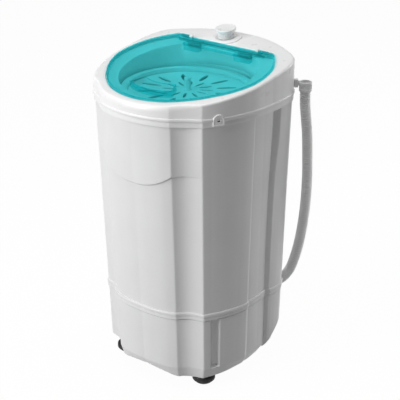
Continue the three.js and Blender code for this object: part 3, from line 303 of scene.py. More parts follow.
# geometry node helpers
# a tree with one named input for each of the values
def newTree(name, values):
    tree = bpy.data.node_groups.new(name, "GeometryNodeTree")
    tree.interface.new_socket(name="Geometry", in_out="INPUT", socket_type="NodeSocketGeometry")
    for label, value in values.items():
        kind = {float: "Float", int: "Int"}.get(type(value), "Material")
        socket = tree.interface.new_socket(name=label, in_out="INPUT", socket_type="NodeSocket" + kind)
        socket.default_value = value
    tree.interface.new_socket(name="Geometry", in_out="OUTPUT", socket_type="NodeSocketGeometry")
    return tree, tree.nodes.new("NodeGroupInput").outputs


def geo(tree, kind, inputs=(), **settings):
    return addNode(tree, "GeometryNode" + kind, inputs, **settings).outputs[0]


def vectorOf(tree, **parts):
    return addNode(tree, "ShaderNodeCombineXYZ", parts).outputs[0]


def circleOf(tree, sides, radius):
    return geo(tree, "CurvePrimitiveCircle", {"Resolution": sides, "Radius": radius})


def joinOf(tree, parts):
    join = tree.nodes.new("GeometryNodeJoinGeometry")
    for part in parts:
        tree.links.new(part, join.inputs[0])
    return join.outputs[0]


def closeTree(tree, geometry, material):
    whole = geo(tree, "RealizeInstances", {"Geometry": geometry})
    painted = geo(tree, "SetMaterial", {"Geometry": whole, "Material": material})
    tree.links.new(painted, tree.nodes.new("NodeGroupOutput").inputs[0])
    return tree


def shapedMesh(name, tree, values, line=((0, 0, 0), (0, 0, 0.001))):
    start = bpy.data.meshes.new("line")
    start.from_pydata([tuple(p) for p in line], [(k, k + 1) for k in range(len(line) - 1)], [])
    carrier = bpy.data.objects.new(name + "Carrier", start)
    scene.collection.objects.link(carrier)
    modifier = carrier.modifiers.new("shape", "NODES")
    modifier.node_group = tree
    sockets = {s.name: s.identifier for s in tree.interface.items_tree if s.in_out == "INPUT"}
    for label, value in values.items():
        modifier[sockets[label]] = value
    depsgraph = bpy.context.evaluated_depsgraph_get()
    mesh = bpy.data.meshes.new_from_object(carrier.evaluated_get(depsgraph))
    bpy.data.objects.remove(carrier)
    return mesh


# drain hose, first of the pieces because its room is tested
hoseSizes = {"crest": 9.7, "valley": 7.3, "wall": 0.9, "pitch": 4.16, "length": 0.507, "round": 24}
hosePath = [
    (0.0224, 0.160, 0.106), (0.033, 0.160, 0.106), (0.044, 0.160, 0.106), (0.058, 0.1595, 0.1072),
    (0.076, 0.158, 0.1125), (0.094, 0.156, 0.1225), (0.111, 0.1545, 0.136), (0.128, 0.153, 0.160),
    (0.140, 0.151, 0.190), (0.1515, 0.148, 0.230), (0.161, 0.144, 0.276), (0.167, 0.141, 0.322),
    (0.170, 0.138, 0.374), (0.1695, 0.1365, 0.416), (0.169, 0.1345, 0.452), (0.1663, 0.1325, 0.486),
    (0.1645, 0.1313, 0.508), (0.164, 0.131, 0.523), (0.164, 0.131, 0.534),
]


# a centripetal curve through the points
def smoothPath(points, steps=14):
    points = np.array(points, float)
    ends = [2 * points[0] - points[1], *points, 2 * points[-1] - points[-2]]
    line = []
    for k in range(1, len(ends) - 2):
        near = ends[k - 1:k + 3]
        t = [0.0]
        for j in range(3):
            t.append(t[j] + np.linalg.norm(near[j + 1] - near[j]) ** 0.5)
        for at in np.linspace(t[1], t[2], steps, endpoint=False):

            def between(row, j, low, high):
                return (high - at) / (high - low) * row[j] + (at - low) / (high - low) * row[j + 1]

            first = [between(near, j, t[j], t[j + 1]) for j in range(3)]
            second = [between(first, j, t[j], t[j + 2]) for j in range(2)]
            line.append(between(second, 0, t[1], t[2]))
    return [*line, points[-1]]


def ribbedTree(values):
    tree, given = newTree("ribbedHose", values)
    line = geo(tree, "MeshToCurve", {"Mesh": given["Geometry"]})
    step = mathOf(tree, "DIVIDE", given["Rib pitch"], 8.0)
    fine = geo(tree, "ResampleCurve", {"Curve": line, "Length": step}, mode="LENGTH")
    passed = addNode(tree, "GeometryNodeSplineParameter").outputs["Length"]
    phase = mathOf(tree, "MULTIPLY", mathOf(tree, "DIVIDE", passed, given["Rib pitch"]), 2 * math.pi)
    wave = mathOf(tree, "TANH", mathOf(tree, "MULTIPLY", mathOf(tree, "SINE", phase), 2.0))  # flat crests
    share = mathOf(tree, "MULTIPLY_ADD", wave, 0.5187, 0.5)
    rise = mathOf(tree, "MULTIPLY", share, mathOf(tree, "SUBTRACT", given["Crest radius"], given["Valley radius"]))
    radius = mathOf(tree, "ADD", rise, given["Valley radius"])
    ring = circleOf(tree, given["Sides"], 1.0)
    tube = geo(tree, "CurveToMesh", {"Curve": fine, "Profile Curve": ring, "Scale": radius})
    return closeTree(tree, tube, given["Finish"])


def makeHose(sizes):
    line = smoothPath(hosePath)
    values = {
        "Crest radius": sizes["crest"] * mm, "Valley radius": sizes["valley"] * mm,
        "Rib pitch": sizes["pitch"] * mm, "Sides": sizes["round"], "Finish": finishes["hose"],
    }
    mesh = shapedMesh("hose", ribbedTree(values), values, line)
    with edited(mesh) as work:
        bmesh.ops.remove_doubles(work, verts=work.verts, dist=1e-7)
        bmesh.ops.recalc_face_normals(work, faces=work.faces)
        bmesh.ops.solidify(work, geom=work.faces[:], thickness=sizes["wall"] * mm)
    return fitTo(meshPiece("drainHose", turnedOutwards(mesh), "hose", 70), "root", "hose_plastic", "drain_hose"), line


hose, hoseLine = makeHose(hoseSizes)
print("hose made", len(hose.data.polygons))

# cuff on the hose's free end, with its lug
cuffSizes = {
    "inner": 9.2, "outer": 11.6, "throat": 7.5, "height": 17.5, "bottom": 534.3, "rib": (1.1, 0.9, 7.0),
    "lug": (5.0, 3.0, 9.0), "lugPlace": (0, -198.3, 548.95),
}


def makeCuff(sizes):
    inner, outer, low, throat = pick(sizes, "inner outer bottom throat")
    high = low + sizes["height"]
    wall = turnedSkin([
        (throat, low), (outer - 1.0, low), (outer - 0.3, low + 0.3), (outer, low + 1.0), (outer, low + 4.6),
        (outer - 0.7, low + 5.2), (outer - 0.7, high - 5.0), (outer - 0.1, high - 4.4), (outer, high - 0.9),
        (outer - 0.4, high - 0.2), (outer - 0.9, high), (inner + 0.4, high), (inner, high - 0.4),
        (inner, low + 4.0), (throat, low + 4.0),
    ], 72)
    rib = softBlock(sizes["rib"], (0, -(outer - 0.6), (low + high) / 2), 0.3)
    end = np.array(hosePath[-1][:2]) / mm
    angle = math.degrees(math.atan2(end[0], -end[1]))
    upright = [wall, *[moved(rib, turn=turn) for turn in range(0, 360, 20)]]
    lug = moved(softBlock(sizes["lug"], sizes["lugPlace"], 0.6), turn=angle)
    return pieceOf("hoseCuff", [*[moved(skin, (*end, 0)) for skin in upright], lug], "cover", 40), angle


cuff, clipAngle = makeCuff(cuffSizes)
fitTo(cuff, "root", "cover_plastic", "hose_cuff")
print("cuff made")

# outline of the body
bodySizes = {
    "level": 521.0, "rise": 472.0, "wall": 3.0, "coveStart": 29.0, "coveEnd": 48.2, "coveDepth": 8.0, "turnTop": -0.8,
    "turn": 2.45, "turnEnd": 77.0, "panelStart": 86.0, "panelDepth": 5.0, "fluteStart": 104.7, "fluteTop": 12.0,
    "fluteLow": 7.5,
}
# rows of (plan angle, size), the same on both sides; fluteWidth goes by level
bodyOutline = [
    (0, 154.5), (12, 156), (22, 158.3), (29, 159.1), (48.2, 165), (54, 162.5), (60, 161), (67, 160), (76, 159),
    (86, 159), (98, 161.5), (104, 164.5), (111, 170.5), (116, 177.5), (122, 184.6), (128, 187), (134, 183.5),
    (140, 178.5), (146, 175), (153, 171.1), (160, 164.2), (166, 159.6), (180, 155),
]
bodyDraft = [(0, 0.05), (29, 0.044), (49, 0.036), (90, 0.03), (131, 0.028), (180, 0.0307)]
fluteLean = [(0, 0), (86, 0), (104.7, 5.2), (111.5, 1.6), (122, 0), (180, 0)]
fluteWidth = [(50, 4.3), (200, 3.5), (330, 3.0), (400, 4.2), (460, 6.6), (521, 7.1)]
turns = np.arange(-180, 180, 0.5)


def wrapped(angle):
    return (angle + 180) % 360 - 180


def along(rows, value):
    return np.interp(value, *zip(*rows))


# the creases and flutes turn a little with the height
def leaning(angle, level):
    start, end, stop = pick(bodySizes, "coveStart coveEnd turnEnd")
    turn = wrapped(angle)
    side = np.abs(turn)
    share = (bodySizes["level"] - level) / bodySizes["rise"]
    fade = np.clip(np.minimum(side / start, (stop - side) / (stop - end)), 0, 1)
    shift = (bodySizes["turnTop"] + bodySizes["turn"] * share) * fade + along(fluteLean, side) * share
    return turn + np.sign(turn) * shift


def coveShape(side):
    start, end = pick(bodySizes, "coveStart coveEnd")
    return np.clip(1 - ((2 * side - start - end) / (end - start)) ** 2, 0, 1)


def sharpBody(angle, level):
    start, top, low = pick(bodySizes, "fluteStart fluteTop fluteLow")
    side = np.abs(wrapped(angle))
    draft = along(bodyDraft, side) * (bodySizes["level"] - level)
    radius = along(bodyOutline, side) - draft - bodySizes["coveDepth"] * coveShape(side)
    panel = bodySizes["panelDepth"] * np.clip(0.5 + (level - 60) / 300, 0.4, 1)
    radius = radius - panel * np.clip((side - bodySizes["panelStart"]) / 1.5, 0, 1) * (side <= start)
    width = along(fluteWidth, level)
    depth = low + (top - low) * np.clip((level - 44) / 494, 0, 1)
    at, apex = (side - start) / width, 1 - 1 / width
    falling = panel + (depth - panel) * np.clip(at / apex, 0, 2) ** 1.7
    return radius - np.where((at > 0) & (at < 1), np.minimum(falling, depth * (1 - at) / (1 - apex)), 0)


# the mean of shape over a small turn, which rounds its creases
def rounded(shape, angle, *others, reach=0.45):
    steps = np.linspace(-reach, reach, 7)
    return sum(shape(angle + step, *others) for step in steps) / len(steps)


def bodyRow(level, offset=0.0):
    level = np.broadcast_to(np.asarray(level, float), turns.shape)
    return ringRow(rounded(sharpBody, turns, level) + offset, level, leaning(turns, level))


def ringRow(radius, level, angles=turns):
    turn = np.radians(angles)
    radius, level = np.broadcast_to(radius, angles.shape), np.broadcast_to(level, angles.shape)
    return np.stack([radius * np.sin(turn), -radius * np.cos(turn), level], 1)


# casing
casingSizes = {
    "belt": 157.0, "beadTop": 161.5, "beadLow": 154.2, "beadProud": 2.6, "bandLow": 148.0, "bandProud": 1.7,
    "top": 538.0, "fit": 0.4, "smile": 407.0, "smileRise": 24.0, "smileStep": 3.2, "skirtBottom": 521.0,
}


def smileAt(sizes):
    share = np.minimum(np.abs(turns), bodySizes["coveStart"]) / bodySizes["coveStart"]
    return sizes["smile"] + sizes["smileRise"] * share**2.4


def smileProud(sizes):
    side = np.abs(turns)
    fade = np.clip((bodySizes["coveEnd"] - side) / (bodySizes["coveEnd"] - bodySizes["coveStart"]), 0, 1)
    return sizes["smileStep"] * fade


def makeCasing(sizes):
    belt, foot, low, bead, proud = pick(sizes, "belt beadTop bandLow beadLow bandProud")
    top, skirt, fit = pick(sizes, "top skirtBottom fit")
    smile, stand, wall = smileAt(sizes), smileProud(sizes), bodySizes["wall"]
    rows = [
        (top, -wall), (belt, -wall), (belt, fit), (low, fit), (low, proud - 0.4), (low + 0.3, proud),
        (bead - 0.9, proud), (bead - 0.2, proud - 0.35),
    ]
    middle, half = (foot + bead) / 2, (foot - bead) / 2
    for step in np.linspace(0.06, 1, 9):  # rounded bead above the band
        turn, least = math.pi * step, proud * (1 - step)
        swell = (sizes["beadProud"] - least) * max(math.sin(turn), 0) ** 0.7
        rows.append((middle - half * math.cos(turn), least + swell))
    climb = smile - 4 - foot
    rows += [(foot + share * climb,) for share in (0.02, 0.05, 0.12, 0.25, 0.4, 0.55, 0.7, 0.82, 0.9, 0.955)]
    for drop, share in (
        (4, 0.0), (3, 0.04), (2.3, 0.15), (1.7, 0.38), (1.2, 0.65), (0.7, 0.88), (0.1, 0.99), (-0.6, 1.0), (-2, 0.995),
    ):  # the curved step
        rows.append((smile - drop, stand * share))
    for share in (0.06, 0.16, 0.3, 0.45, 0.6, 0.75, 0.9, 1.0):
        rows.append((smile + 2 + share * (skirt - smile - 2), stand * (1 - share) * 0.995))
    rows += [(top - 8,), (top,)]
    return pieceOf("casing", [skinOf([bodyRow(*row) for row in rows])], "casing", 28)


casing = fitTo(makeCasing(casingSizes), "root", "white_plastic", "casing_shell")
print("casing made", len(casing.data.polygons))

# base
baseSizes = {
    "bevel": 43.8, "least": 1.5, "inset": 6.0, "notch": 16.0, "top": 156.7, "shoulder": 147.4, "grooveStart": 53.5,
    "floorStart": 55.8, "floorEnd": 59.9, "grooveEnd": 61.2, "grooveDepth": 6.5,
}
edgeOutline = [
    (0, 31.5), (8, 30.6), (14, 29), (20, 26.5), (25, 23), (30, 21.2), (40, 20.3), (50, 22.5), (60, 24), (70, 26.6),
    (80, 29.5), (90, 30.5), (100, 32), (105, 33.5), (112, 38), (180, 38),
]
cornerRise = [(0, 0), (109, 0), (111.5, 4), (122, 31), (128, 34), (140, 20), (153, 0), (180, 0)]
cornerInset = [(0, 0), (109, 0), (111.5, 1.5), (122, 7), (128, 7.5), (140, 4), (153, 0), (180, 0)]


def baseEdge(sizes):
    middle, half = -(bodySizes["coveStart"] + sizes["grooveEnd"]) / 2, (sizes["grooveEnd"] - bodySizes["coveStart"]) / 2
    return along(edgeOutline, np.abs(turns)) + sizes["notch"] * np.clip(1 - ((turns - middle) / half) ** 2, 0, 1)


def grooveOf(angle):
    sizes, side = baseSizes, np.abs(wrapped(angle))
    rising = (side - sizes["grooveStart"]) / (sizes["floorStart"] - sizes["grooveStart"])
    falling = (sizes["grooveEnd"] - side) / (sizes["grooveEnd"] - sizes["floorEnd"])
    return sizes["grooveDepth"] * np.clip(np.minimum(rising, falling), 0, 1)


def makeBase(sizes):
    side, edge, wall, top, shoulder = np.abs(turns), baseEdge(sizes), bodySizes["wall"], sizes["top"], sizes["shoulder"]
    bevel = np.maximum(sizes["bevel"], edge + sizes["least"]) + along(cornerRise, side)
    groove = rounded(grooveOf, turns, reach=0.25)
    inset = sizes["inset"] + along(cornerInset, side)
    rows = [
        (top, -wall - groove), (bevel, -wall - groove), (edge, -inset - wall - groove), (edge, -inset - 0.6),
        (edge + 0.25, -inset - 0.1), (edge + 0.8, -inset + 0.2),
    ]
    rows += [(edge + share * (bevel - edge), -inset * (1 - share)) for share in (0.35, 0.7, 0.9)]
    rows += [(bevel - 0.4, -0.1), (bevel + 0.5, 0), (bevel + 1.2, -0.5 * groove), (bevel + 2.4, -groove)]
    rows += [(bevel + 2.4 + share * (shoulder - 3 - bevel - 2.4), -groove) for share in (0.2, 0.4, 0.6, 0.8, 1.0)]
    rows += [
        (shoulder - 1.5, -groove), (shoulder - 1.1, -0.9 - groove), (top - 0.5, -0.9 - groove), (top, -1.4 - groove),
    ]
    return pieceOf("base", [skinOf([bodyRow(*row) for row in rows])], "casing", 28)


base = fitTo(makeBase(baseSizes), "root", "white_plastic", "base_shell")
print("base made", len(base.data.polygons))

# deck frame and top cover
deckSizes = {
    "tilt": 8.2, "level": 583.3, "cove": 4.0, "beadLevel": 535.0, "beadProud": 2.0, "skirtBottom": 521.0,
    "skirtLeast": 1.4, "wall": 3.0, "deck": -3.0, "recess": -10.0, "under": -12.6, "mouth": 124.5, "mouthFlat": 91.5,
    "throat": 125.0, "throatKnee": 548.0, "throatBottom": 520.3, "filletOut": 5.0, "seat": 538.3, "roof": 541.3,
    "ear": (7.0, 7.0, 6.2), "earReach": 75.8,
}
filletDrop = [(0, 11), (27, 11), (30, 10.5), (48.2, 4.5), (180, 4.5)]  # plan angle, size
coverOutline = [
    (0, 164), (29, 165), (48.2, 167.8), (58, 166), (68, 164.5), (80, 164), (92, 165.5), (100, 168), (108, 173.5),
    (116, 181), (122, 187), (128, 189.3), (134, 186.3), (140, 181.5), (146, 178.5), (155, 175), (166, 171.5),
    (180, 169),
]
lidSizes = {
    "rear": 109.0, "notch": 103.8, "notchHalf": 80.0, "gap": 1.8, "recessRear": 111.2, "panel": 2.6, "rim": 2.0,
    "rimDepth": 8.4, "hingeSetback": 106.0, "hingeSink": 1.2, "hingeReach": 90.0, "slot": (71.3, 80.3),
    "slotSetback": 100.5,
}
lidRound = [
    (0, 148), (23, 147), (40, 144.8), (56, 144.8), (73, 149.5), (85, 153), (92, 153.5), (110, 154.5), (128, 154),
    (180, 154),
]
tiltCos, tiltSin = math.cos(math.radians(deckSizes["tilt"])), math.sin(math.radians(deckSizes["tilt"]))


# points of the lid's plane, in x, setback and rise, as points of the row frame
def onDeck(points):
    points = np.asarray(points, float)
    y = points[:, 1] * tiltCos - points[:, 2] * tiltSin
    z = deckSizes["level"] + points[:, 1] * tiltSin + points[:, 2] * tiltCos
    return np.stack([points[:, 0], y, z], 1)


def deckSkin(skin):
    return onDeck(skin[0]), skin[1]


def deckHeight(y, rise):
    return deckSizes["level"] + (y * tiltSin + rise) / tiltCos


# a round outline whose rear half is cut off straight
def cutOff(angle, radius, straight):
    side = np.abs(wrapped(angle))
    reach = straight / np.maximum(np.abs(np.cos(np.radians(side))), 1e-6)
    return np.where(side < 90, radius, np.minimum(radius, reach))


def lidOutline(angle, grow, rear, notch):
    side = np.abs(wrapped(angle))
    corner = 180 - math.degrees(math.atan2(lidSizes["notchHalf"], lidSizes["rear"]))
    return cutOff(angle, along(lidRound, side) + grow, np.where(side > corner + 0.2, notch, rear))


def mouthOutline(angle):
    return cutOff(angle, deckSizes["mouth"], deckSizes["mouthFlat"])


def deckRow(radius, rise):
    return onDeck(ringRow(radius, rise))


def coverEdge(angle):
    side = np.abs(wrapped(angle))
    return along(coverOutline, side) - deckSizes["cove"] * coveShape(side)


def coverRow(level, offset):
    radius, angles = rounded(coverEdge, turns) + offset, leaning(turns, casingSizes["top"])
    y = -radius * np.cos(np.radians(angles))
    return ringRow(radius, level(y) if callable(level) else level, angles)


def skirtRow(level, inset):
    least = rounded(sharpBody, turns, casingSizes["top"] + 0 * turns) + 0.4 + deckSizes["skirtLeast"]
    return ringRow(np.maximum(rounded(coverEdge, turns) - inset, least), level, leaning(turns, level))


def makeCover(sizes):
    wall, deck, bead, knee, throat, under = pick(sizes, "wall deck beadLevel throatKnee throat under")
    floor, out, low, seat, roof = pick(sizes, "recess filletOut skirtBottom seat roof")
    gap, bottom, drop = lidSizes["gap"], sizes["throatBottom"], along(filletDrop, np.abs(turns))
    recess = rounded(lambda a: lidOutline(a, gap, lidSizes["recessRear"], lidSizes["notch"] + gap), turns, reach=0.3)
    mouth = rounded(mouthOutline, turns, reach=2.4)
    brim, lip = ringRow(throat - 0.1, knee), deckRow(mouth, floor - 1.2)
    inner, outer = deckRow(recess + 1.2, deck), coverRow(lambda y: deckHeight(y, deck), -out)
    rows = [
        bodyRow(low, 0.4), bodyRow(seat, 0.4), bodyRow(seat, -4.0), bodyRow(roof, -4.0), coverRow(roof, -wall),
        coverRow(lambda y: deckHeight(y, deck) - wall, -out), deckRow(recess + wall, deck - wall),
        deckRow(recess + wall, under), deckRow(mouth + wall, under), ringRow(throat + wall, knee),
        ringRow(throat + wall, bottom), ringRow(throat, bottom), ringRow(throat, knee - 2), brim,
    ]
    rows += [brim + (lip - brim) * share for share in (0.08, 0.35, 0.7, 1.0)]
    rows += [deckRow(*row) for row in (
        (mouth + 0.35, floor - 0.35), (mouth + 1.2, floor), (recess - 1.0, floor), (recess - 0.3, floor + 0.3),
        (recess, floor + 1.0), (recess, deck - 1.2), (recess + 0.35, deck - 0.35), (recess + 1.2, deck),
    )]
    rows += [inner + (outer - inner) * share for share in (0.35, 0.7)]
    for turn in np.linspace(0, 1, 8) * math.pi / 2:  # fillet of the rim
        fall = drop * (1 - math.cos(turn))
        rows.append(coverRow(lambda y: deckHeight(y, deck) - fall, -out * (1 - math.sin(turn))))
    rise = bead + 3.6
    rows += [coverRow(lambda y: rise + 0.5 * (deckHeight(y, deck) - drop - bead - 3.6), 0), coverRow(rise, 0)]
    rows.append(coverRow(bead + 3.0, 0.05))
    for step in np.linspace(0.1, 0.9, 7):
        turn = step * math.pi
        rows.append(coverRow(bead + 3.0 * math.cos(turn), sizes["beadProud"] * math.sin(turn) ** 0.7 - 0.5 * step))
    rows += [skirtRow(*row) for row in (
        (bead - 3.0, 1.3), (bead - 3.8, 1.5), (low + 6, 1.0), (low + 2.2, 0.6), (low + 1.4, 0.8), (low + 1.2, 1.4),
    )]
    skins = [skinOf(rows), *[screwTab(angle, tabSizes) for angle in tabSizes["angles"]]]
    for side in (-1, 1):  # ears of the hinge
        middle = (side * sizes["earReach"], lidSizes["hingeSetback"], -0.9)
        skins.append(deckSkin(softBlock(sizes["ear"], middle, 0.8)))
    return pieceOf("topCover", skins, "cover", 30)


tabSizes = {
    "angles": (-57.2, 57.2, -150.0, 150.0), "lift": 3.2, "width": 20.6, "height": 20.4, "proud": 2.7, "hole": 3.2,
    "depth": 3.4, "back": 8.5,
}


# half-round boss about its screw, flat at the skirt's edge
def screwTab(angle, sizes):
    hole, depth, height, back = pick(sizes, "hole depth height back")
    half, rise = sizes["width"] / 2, height / 2
    around = np.radians(np.arange(0, 360, 7.5))
    ca, sa = np.cos(around), np.sin(around)
    reachUp = height - half - rise  # the arc's centre stands this far above the screw
    arc = reachUp * sa + np.sqrt(np.maximum(half**2 - (reachUp * ca) ** 2, 0))
    flat = np.minimum(half / np.maximum(np.abs(ca), 1e-6), np.where(sa < 0, (rise - 0.3) / np.maximum(-sa, 1e-6), 1e9))
    outline = np.where(reachUp + 0 * sa <= arc * sa, arc, flat)
    outline = np.minimum(outline, np.where(sa > 0, arc, flat))
    outer = float(coverEdge(np.array([angle]))[0]) + sizes["proud"]
    level = deckSizes["skirtBottom"] + rise + sizes["lift"]
    rows = [np.stack([radius * ca, 0 * ca - (outer + forward), level + radius * sa], 1) for forward, radius in (
        (-back, outline), (-0.9, outline), (-0.25, outline - 0.25), (0, outline - 0.9), (0, outline - 1.9),
        (-0.5, outline - 2.5), (-0.55, hole + 1.6), (-0.4, hole + 1.0), (-0.7, hole + 0.2), (-1.2, hole),
        (-depth, hole), (-depth, 0.05), (-back, 0.05),
    )]
    return moved(skinOf(rows), turn=angle)


cover = fitTo(makeCover(deckSizes), "root", "cover_plastic", "top_cover")
print("cover made", len(cover.data.polygons))

# cover screws with crossed slots
screwSizes = {"head": 2.9, "headHeight": 2.1, "shank": 1.9, "length": 16.0, "slot": 0.7, "sink": 1.2}


def makeScrews(sizes):
    head, thick, shank, length, slot = pick(sizes, "head headHeight shank length slot")
    points, faces = turnedSkin([
        (0, -length), (shank, -length + 2), (shank, -thick), (head, -thick), (head, -0.7), (head - 0.5, -0.15),
        (slot * 1.9, 0), (slot * 1.2, -0.9), (0, -1.1),
    ], 36, lambda turn, index: 1 + (0.55 * np.cos(4 * turn) if index in (6, 7) else 0 * turn))
    level, skins = deckSizes["skirtBottom"] + tabSizes["lift"] + tabSizes["height"] / 2, []
    for angle in tabSizes["angles"]:
        face = float(coverEdge(np.array([angle]))[0]) + tabSizes["proud"] - sizes["sink"]
        laid = np.stack([points[:, 0], -(face + points[:, 2]), level + points[:, 1]], 1)
        skins.append(moved(facedOut(laid, faces), turn=angle))
    return pieceOf("coverScrews", skins, "screw", 35)


screwNodes = [f"cover_screw_{corner}" for corner in ("front_left", "front_right", "rear_left", "rear_right")]
fitTo(makeScrews(screwSizes), "root", "steel", *screwNodes)

# clip for the cuff's lug
clipSizes = {"width": 9.0, "reach": 7.0, "height": 14.7, "bottom": 541.6, "seat": 189.6}


def makeClip(sizes):
    width, reach, height, seat = pick(sizes, "width reach height seat")
    middle = sizes["bottom"] + height / 2
    block = softBlock((width, reach, height), (0, -(seat + reach / 2), middle), 1.1, 3)
    flange = softBlock((width + 2.4, 1.6, height - 0.6), (0, -(seat + 1.2), middle), 0.5)
    return pieceOf("hoseClip", [moved(block, turn=clipAngle), moved(flange, turn=clipAngle)], "cover", 40)


fitTo(makeClip(clipSizes), "root", "cover_plastic", "hose_clip")
print("clip made")

# lid
scoopSizes = {"inner": 82.0, "outer": 113.0, "half": 25.0, "depth": 13.0, "wall": 2.0}
barSizes = {
    "block": (35.0, 11.0, 14.0), "offset": 58.0, "blockSetback": 84.0, "tongueSetback": 91.6,
    "bar": (196.0, 3.0, 5.0), "barSetback": 95.5, "step": (150.0, 5.0, 3.0), "stepSetback": 78.0,
}


def scoopLoop(inset, sizes=scoopSizes, steps=22):
    half = sizes["half"] - math.degrees(inset / sizes["outer"])
    outer = [(sizes["outer"] - inset, a) for a in np.linspace(-half, half, steps)]
    inner = [(sizes["inner"] + inset, a) for a in np.linspace(half, -half, steps)]
    return [(r * math.sin(math.radians(a)), -r * math.cos(math.radians(a))) for r, a in outer + inner]


def loopRow(loop, rise):
    return np.array([(x, y, rise) for x, y in loop])


def makeLid(sizes, scoop, bars):
    rear, notch, panel, rim, low = pick(sizes, "rear notch panel rim rimDepth")
    angles = turns[::2]
    outline = rounded(lambda a: lidOutline(a, 0, rear, notch), angles, reach=0.35)
    left, right = sizes["slot"]  # beside each hinge
    plan = ringRow(outline, 0, angles)[:, :2].tolist()
    edge = [(x, y) for x, y in plan if not (left < abs(x) < right and y > sizes["slotSetback"])]
    inner = rounded(lambda a: lidOutline(a, -rim, notch - rim, notch - rim), angles, reach=0.35)
    depth, wall = scoop["depth"], scoop["wall"]
    skins = [slabSkin(edge, -panel, -0.05, scoopLoop(0)), skinOf([ringRow(r, z, angles) for r, z in (
        (outline - 0.2, -0.4), (outline, -0.8), (outline, -low + 0.5), (outline - 0.4, -low), (inner + 0.3, -low),
        (inner, -low + 0.4), (inner, -0.4),
    )]), skinOf([loopRow(scoopLoop(inset), rise) for inset, rise in (
        (0, -0.4), (0, -depth + 1), (0.8, -depth), (9, -depth), (15.4, -depth), (15.4, -depth + wall),
        (wall + 1, -depth + wall), (wall, -depth + wall + 1), (wall, -0.1), (0.6, 0),
    )])]
    wide, deep, tall = bars["block"]
    for side in (-1, 1):
        x = side * bars["offset"]
        skins.append(softBlock((wide, deep, tall), (x, bars["blockSetback"], -panel - tall / 2 + 0.3), 0.8))
        middle = (x, bars["tongueSetback"], -panel - (tall - 5) / 2 + 0.3)
        skins.append(softBlock((wide - 4, 4.0, tall - 5), middle, 0.5))
        skins.append(knuckle(side))
    for bar in ("bar", "step"):
        skins.append(softBlock(bars[bar], (0, bars[bar + "Setback"], -panel - bars[bar][2] / 2 + 0.3), 0.5))
    return pieceOf("lidPanel", [deckSkin(skin) for skin in skins], "teal", 32)


def knuckle(side):
    points, faces = turnedSkin([(1.8, -9), (2.6, -9), (3.0, -8.6), (3.0, 8.6), (2.6, 9), (1.8, 9)], 32)
    reach, setback, sink = pick(lidSizes, "hingeReach hingeSetback hingeSink")
    x, y, z = points[:, 2] + side * reach, points[:, 1] + setback, points[:, 0] - sink
    return facedOut(np.stack([x, y, z], 1), faces)


lid = fitTo(makeLid(lidSizes, scoopSizes, barSizes), "lid", "teal_plastic", "lid")
print("lid made", len(lid.data.polygons))

# timer knob, bezel and its marks
knobSizes = {
    "x": -16.0, "setback": 134.0, "base": 16.0, "top": 19.5, "bottom": 3.2, "height": 17.5, "cap": 4.5, "ribs": 30,
    "pointer": (1.6, 7.5, 1.0), "pointerTurn": -28,
}
bezelSizes = {
    "radius": 28.5, "height": 2.6, "marks": 26, "markReach": 24.0, "markRise": 2.05, "markLong": 2.6, "markWide": 0.6,
    "markStart": 30, "markStep": 12,
}


def atKnob(skin):
    points, faces = skin
    return onDeck(points + np.array([knobSizes["x"], knobSizes["setback"], deckSizes["deck"]])), faces


def makeKnob(sizes):
    base, top, low = pick(sizes, "base top bottom")
    high = low + sizes["height"]
    neck = high - sizes["cap"]
    outline = [
        (0, low + 2), (base - 2.4, low + 2), (base - 2.0, low), (base - 0.2, low), (base, low + 0.8), (base, low + 2.2),
        (base - 0.9, low + 2.8), (base - 1.0, low + 5), (base - 0.9, neck - 3.4), (base + 0.2, neck - 1.6),
        (top - 1.2, neck - 0.5), (top - 0.2, neck), (top, neck + 0.8), (top, high - 1.6), (top - 0.45, high - 0.6),
        (top - 1.5, high - 0.1), (top - 3.4, high), (top - 4.2, high - 0.35), (top - 8, high - 0.55), (0, high - 0.6),
    ]

    def ripple(turn, index):
        if index in (6, 7, 8):  # flutes of the grip
            return 1 - 0.055 * (0.5 + 0.5 * np.cos(sizes["ribs"] * turn))
        return 1 - 0.012 * (0.5 + 0.5 * np.cos(2 * sizes["ribs"] * turn)) if index in (12, 13) else 1 + 0 * turn

    pointer = moved(softBlock(sizes["pointer"], (0, -(top - 6.6), high - 0.2), 0.35), turn=sizes["pointerTurn"])
    return pieceOf("timerKnob", [atKnob(turnedSkin(outline, 240, ripple)), atKnob(pointer)], "cover", 34)


def makeBezel(sizes):
    h, r = sizes["height"] + 0.3, sizes["radius"]
    ring = turnedSkin([
        (4, 0.3), (r, 0.3), (r, 0.9), (r - 0.35, 1.45), (r - 1.2, 1.9), (r - 6.4, h - 0.35), (r - 7.0, h), (r - 8.4, h),
        (r - 9.0, h - 0.3), (r - 10.0, h - 0.5), (4, h - 0.5),
    ], 120)
    return pieceOf("timerBezel", [atKnob(ring)], "cover", 30)


def markTree(values):
    tree, given = newTree("dialMarks", values)
    points = geo(tree, "MeshLine", {"Count": given["Marks"], "Offset": (0, 0, 0)})
    start, step = map(math.radians, pick(bezelSizes, "markStart markStep"))
    turn = mathOf(tree, "MULTIPLY_ADD", geo(tree, "InputIndex"), step, start)
    bar = geo(tree, "MeshCube", {"Size": vectorOf(tree, X=given["Wide"], Y=given["Long"], Z=0.0004)})
    bar = geo(tree, "Transform", {"Geometry": bar, "Translation": vectorOf(tree, Y=given["Reach"])})
    dotted = geo(tree, "InstanceOnPoints", {"Points": points, "Instance": bar, "Rotation": vectorOf(tree, Z=turn)})
    return closeTree(tree, dotted, given["Finish"])


